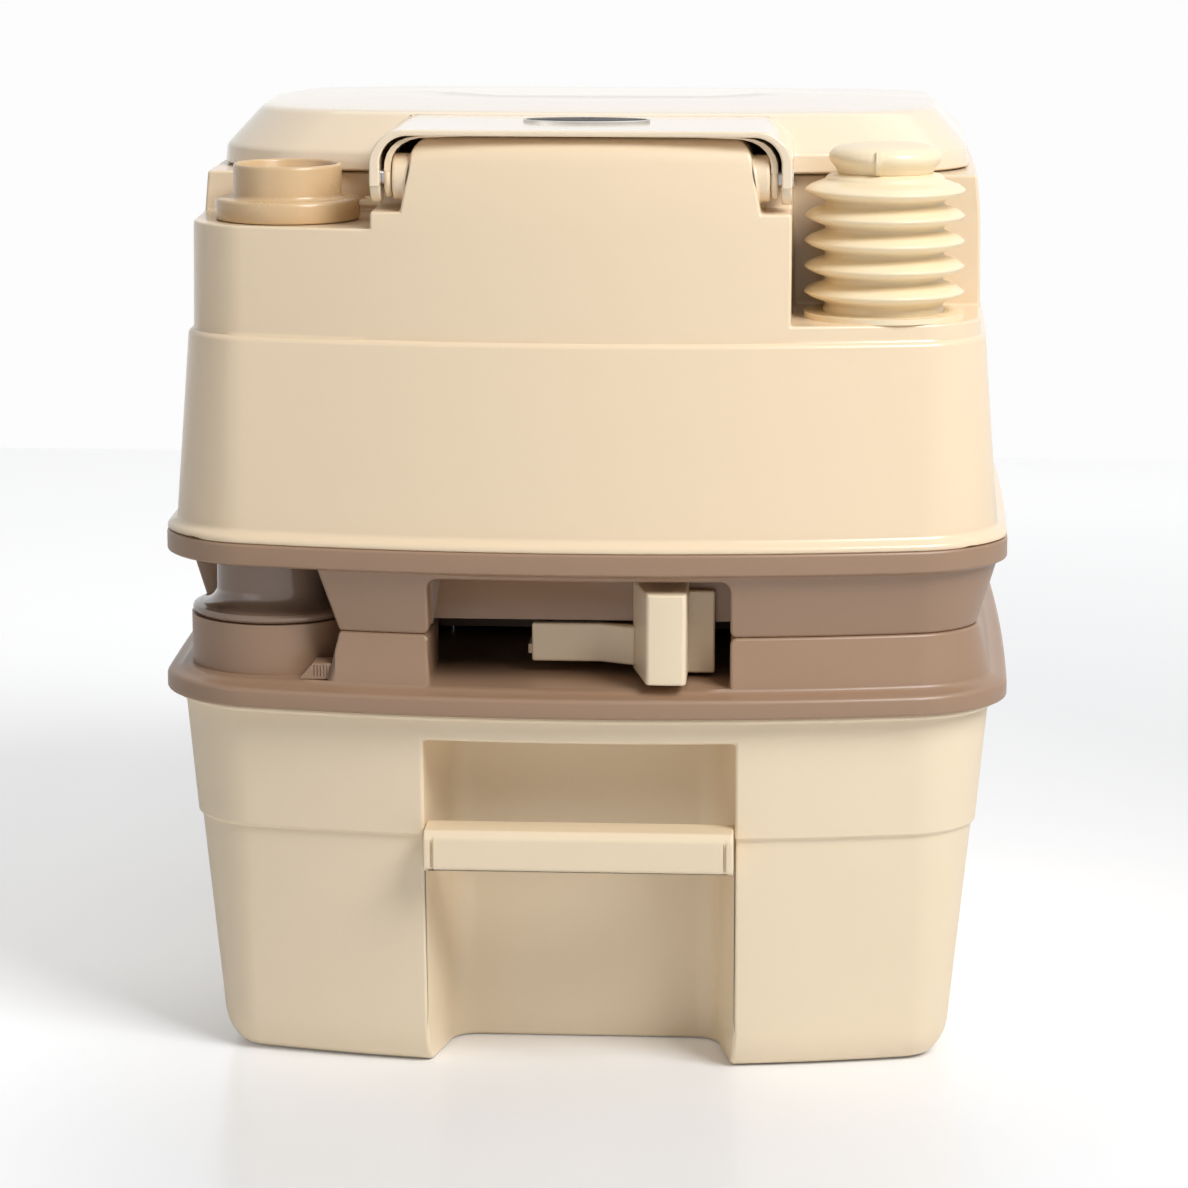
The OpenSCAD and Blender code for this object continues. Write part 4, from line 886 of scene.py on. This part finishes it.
def addUpperBase(c):
    mate, flange, shell, t = body["mate"], body["flangeHigh"], body["shell"], c["wall"]
    part = makeObject("upperBaseFrame", ringMesh([inset(z, dx, dy) for z, dx, dy in c["form"]]))
    m, top, r = c["mouth"], mate + c["mouthUp"], c["mouthRound"]
    mid, high = c["alcoveMid"], c["alcoveTop"]
    # space inside, less the pocket behind the opening, the wall beside the alcove and the skirt's end
    space = makeObject("space", ringMesh([inset(mate - 1, 16, 14.6), inset(shell + 1, 9, 8)]))
    x, tipX, tipR = -halfW, -halfW + c["tipX"], c["tipR"]
    tip = [(x - 5, flange + 2), (x - 5, mate - 3), (tipX, mate - 3)]
    tip += arc(tipX, mate + tipR, tipR, 270, 360, 6) + [(x + 21, mate + 14), (x + 22, flange + 2)]
    cut(space,
        boxMesh((-m - t, -farFront, mate - 3), (m + t, c["pocket"] + 5, flange + 2)),
        barMesh([(mid - 0.2, mate - 3), (mid + t, mate - 3),
                 (high + t, flange + 2), (high - 0.2, flange + 2)], "y", *c["alcoveWall"]),
        barMesh(tip, "y", c["alcoveY"] - 1.5, c["alcoveY"] + 7))
    side = [(-farSide, mate - 1), (mid, mate - 1), (mid, mate), (high, flange), (-farSide, flange)]
    q = tankCover["mouthRound"]
    hole = ([(-m - q, mate - 6), (m + q, mate - 6)] + arc(m + q, mate + q, q, 270, 180, 6)
            + arc(m - r, top - r, r, 0, 90, 6) + arc(-m + r, top - r, r, 90, 180, 6)
            + arc(-m - q, mate + q, q, 0, -90, 6))
    cut(part,
        takeMesh(space),
        barMesh(side, "y", -farSide, c["alcoveY"]),
        barMesh(hole, "y", -farSide, c["pocket"] + 2),
        boxMesh((-m, -farSide, mate - 6), (m, tankCover["mouthDeep"], mate + 2.5)),
        upRod(c["spoutR"], tankCover["spoutAxis"], mate - 1, flange + 0.6, 120))
    finishPiece(part, "upper_base", "frameBrown", bevel=c["edge"], angle=50, sharpBoxes=c["sharp"])


addUpperBase(upperBase)
print("upper base done")


# bellows, knob and its web

bellowsPump = {
    "foot": 333.9, "folds": 5, "pitch": 10.93, "crest": 34.5, "root": 25.4, "neck": 20.9, "wall": 1.6,
    "footUp": 3.2, "neckUp": 1.7,      # below the first fold and above the last one
    "knob": 393.45, "travel": 35,
    "webIn": 3.2, "webT": 2.4,         # small web under the knob, left of the pump's axis
}


def foldOutline(c, t):
    # from the foot up: rounded valleys and thin rounded crests
    p, crest, root = c["pitch"], c["crest"] - t * 0.9, c["root"] - t
    points = [(root + 0.6, 0), (root + 0.6, 1.2), (root, 2.4)]
    for i in range(c["folds"]):
        z = i * p + c["footUp"]
        points += [(root, z - 0.2), (root + 0.35, z + 0.5), (root + 1.0, z + 1.0)]
        points += [(root + (crest - root) * k, z + 1.0 + 3.2 * k ** 1.15) for k in (0.25, 0.5, 0.75)]
        points += [(crest - 0.75, z + 4.35), (crest - 0.2, z + 4.75), (crest, z + 5.25),
                   (crest - 0.2, z + 5.75), (crest - 0.75, z + 6.15)]
        points += [(root + (crest - root) * k, z + p - 1.2 - 3.4 * k ** 1.15) for k in (0.75, 0.5, 0.25)]
        points += [(root + 0.8, z + p - 1.3), (root + 0.25, z + p - 0.8)]
    top = c["folds"] * p + c["footUp"]
    points += [(root, top - 0.2), (root - 1.2, top + 0.8), (c["neck"] + 1.2 - t, top + 1.2),
               (c["neck"] - t, top + c["neckUp"])]
    return points


def addBellows(c):
    outline = foldOutline(c, 0) + foldOutline(c, c["wall"])[::-1]
    part = makeObject("bellowsFolds", spinMesh(outline, (*pumpAxis, c["foot"]), 128))
    finishPiece(part, "bellows", "pumpCream", angle=50)
    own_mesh(part)


def addKnob(c):
    outline = [(0, 0), (20.3, 0), (20.8, 0.5), (21.1, 1.6), (21.9, 2.7), (23.0, 3.9), (23.9, 5.2),
               (24.3, 6.3), (24.4, 7.0), (24.2, 8.0), (23.6, 9.1), (22.4, 10.2), (20.6, 11.1),
               (17.8, 11.8), (13.5, 12.4), (8, 12.8), (3.5, 12.95), (0, 13)]
    part = makeObject("pumpKnobHead", spinMesh(outline, (*pumpAxis, c["knob"]), 128))
    x, y, z, half = pumpAxis[0] - c["webIn"], pumpAxis[1], c["knob"], c["webT"] / 2
    web = [(y - 23.9, z + 10.4), (y - 25.4, z + 7.6), (y - 24.4, z + 3.4), (y - 21.2, z + 0.2),
           (y - 18, z + 0.4), (y - 18, z + 11)]
    add(part, barMesh(web, "x", x - half, x + half))
    finishPiece(part, "pump_knob", "pumpCream", angle=55)


addBellows(bellowsPump)
addKnob(bellowsPump)
print("pump done")


# filling cap

fillCap = {"base": 371.8, "top": 381.1}


def addFillCap(c):
    b, t = c["base"], c["top"]
    outline = [(27.95, b), (30.6, b), (31.2, b + 0.2), (31.5, b + 0.8), (31.5, t - 1.9), (31.2, t - 0.9),
               (30.5, t - 0.25), (29.4, t), (25.4, t), (24.4, t + 0.3), (23.75, t + 0.95), (23.5, t + 2.0),
               (23.6, t + 12.9), (23.4, t + 13.9), (22.9, t + 14.45), (22.3, t + 14.6), (21.7, t + 14.3),
               (21.3, t + 13.6), (20.9, t + 1.4), (20.4, t + 0.3), (19.4, t - 0.1), (0, t - 0.1),
               (0, b + 7.4), (27.0, b + 7.4), (27.95, b + 6.6)]
    part = makeObject("fillCapCup", spinMesh(outline, (*fillAxis, 0), 144))
    finishPiece(part, "fill_cap", "capCream", angle=50)


addFillCap(fillCap)


# valve handle

valveHandle = {
    "low": 178.8, "high": 218.3, "right": 46.5, "width": 17.5, "front": -208, "plateY": -176, "armY": -165,
    "plateT": 3.4, "armUp": (2.6, 19.6), "bladeTop": 187.5, "footX": 22, "footT": 2.4,
    "screwX": 10, "screwR": 2, "edge": 1.1,
}


def addValveHandle(c):
    low, high, x1, w = c["low"], c["high"], c["right"], c["width"]
    y0, yp, ya, blade, foot = c["front"], c["plateY"], c["armY"], c["bladeTop"], c["footX"]
    bend, back = x1 - 2 * w - 1, yp + c["plateT"]
    fin = [(x1 - w + 1, y0 + 0.4), (x1 - w / 2, y0), (x1 - 1, y0 + 0.4), (x1, y0 + 2), (x1, back),
           (x1 - w - 7, back), (x1 - w - 6.4, yp + 1), (x1 - w, y0 + 2)]
    part = makeObject("valveHandleGrip", barMesh(fin, "z", low, high))
    part["near"] = "valve_handle"
    finishPiece(part, "", "handleCream", bevel=c["edge"], angle=35)
    plate = makeObject("valveHandlePlate", boxMesh((x1 - 6, yp, low - 1), (x1 + 11.4, back, high - 4)))
    plate["near"] = "valve_handle"
    finishPiece(plate, "", "handleCream", bevel=c["edge"], angle=35)
    arm = [(x1 - w - 6, yp - 3), (x1 - w - 4, back), (bend, ya - 3.2), (bend, ya), (-foot, ya),
           (-foot, ya - 7), (bend - 3, ya - 7)]
    part = makeObject("valveHandleArm", barMesh(arm, "z", *(low + up for up in c["armUp"])))
    footPlate = makeObject("foot", boxMesh((-foot, ya - 3, blade), (foot, ya + 20, blade + c["footT"])))
    for s in (-1, 1):
        cut(footPlate, upRod(c["screwR"], (s * c["screwX"], ya + 12), blade - 1, blade + 5, 32))
    add(part, takeMesh(footPlate))
    finishPiece(part, "valve_handle", "handleCream", bevel=c["edge"], angle=35)


addValveHandle(valveHandle)


# bare badge plate with its thin bright edge

badge = {"y": -142, "base": 413.7, "halfW": 27.5, "halfD": 13, "rim": 1.3, "height": 1.2, "gap": 0.5}


def addBadge(c):
    base, top = c["base"], c["base"] + c["height"]

    def outline(less):
        return oval(c["halfW"] - less, c["halfD"] - less, c["y"])

    rings = [(base, outline(0)), (top - 0.3, outline(0)), (top, outline(0.3))]
    ring = makeObject("badgeEdge", ringMesh(rings))
    inner, small = outline(c["rim"]), outline(c["rim"] + c["gap"])
    cut(ring, barMesh(inner, "z", base - 1, base + 3))
    ring["near"] = "lid_badge"
    finishPiece(ring, "", "badgeMetal", angle=40)
    plate = makeObject("badgePlate", ringMesh([(base, inner), (base + 0.5, inner), (base + 0.8, small)]))
    finishPiece(plate, "lid_badge", "badgeDark", angle=40)


addBadge(badge)
print("handle, cap and badge done")


# coil spring behind the latch

latchSpring = {
    "from": -84.22, "to": -68.3, "y": -184.5, "z": 181, "r": 2.6, "wire": 0.5, "turns": 5.5,
    "steps": 176, "sides": 12, "travel": 5,
}


def addLatchSpring(c):
    wire, length = c["wire"], c["to"] - c["from"]
    bm = bmesh.new()
    made = bmesh.ops.create_circle(bm, cap_ends=True, radius=wire, segments=c["sides"])
    bmesh.ops.translate(bm, vec=(c["from"] + wire, c["y"] + c["r"] - wire, c["z"]), verts=made["verts"])
    made = bmesh.ops.spin(bm, geom=list(bm.edges), cent=(0, c["y"], c["z"]), axis=(1, 0, 0),
                          dvec=((length - 2 * wire) / c["steps"], 0, 0), angle=2 * math.pi * c["turns"],
                          steps=c["steps"], use_merge=False)
    bmesh.ops.edgeloop_fill(bm, edges=[g for g in made["geom_last"] if isinstance(g, bmesh.types.BMEdge)])
    bmesh.ops.recalc_face_normals(bm, faces=bm.faces)
    coil = makeObject("latchSpringCoil", bm)
    finishPiece(coil, "latch_spring", "steel", angle=50)
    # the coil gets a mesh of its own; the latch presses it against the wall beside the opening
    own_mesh(coil)


addLatchSpring(latchSpring)
print("latch spring done")


# CAD pieces that keep their own shape

slotFinish = {
    "tank_cream": "tankCream", "shell_cream": "shellCream", "frame_brown": "frameBrown",
    "spout_brown": "spoutBrown", "pump_cream": "pumpCream", "seal_rubber": "sealRubber",
    "steel": "steel", "badge_dark": "badgeDark",
}


cadDress = {"angle": 28, "weld": 0.00001}  # degrees and m


def dressCad(c):
    # joins the loose triangles for shading and keeps edges sharper than the angle
    for name, obj in nodes.items():
        obj.data.materials.clear()
        obj.data.materials.append(materials[slotFinish[nodeSlot[name]]])
        obj.data.polygons.foreach_set("use_smooth", [True] * len(obj.data.polygons))
        weld = obj.modifiers.new("weld", "WELD")
        weld.merge_threshold = c["weld"]
        split = obj.modifiers.new("split", "EDGE_SPLIT")
        split.split_angle = math.radians(c["angle"])


dressCad(cadDress)
print("CAD pieces dressed")
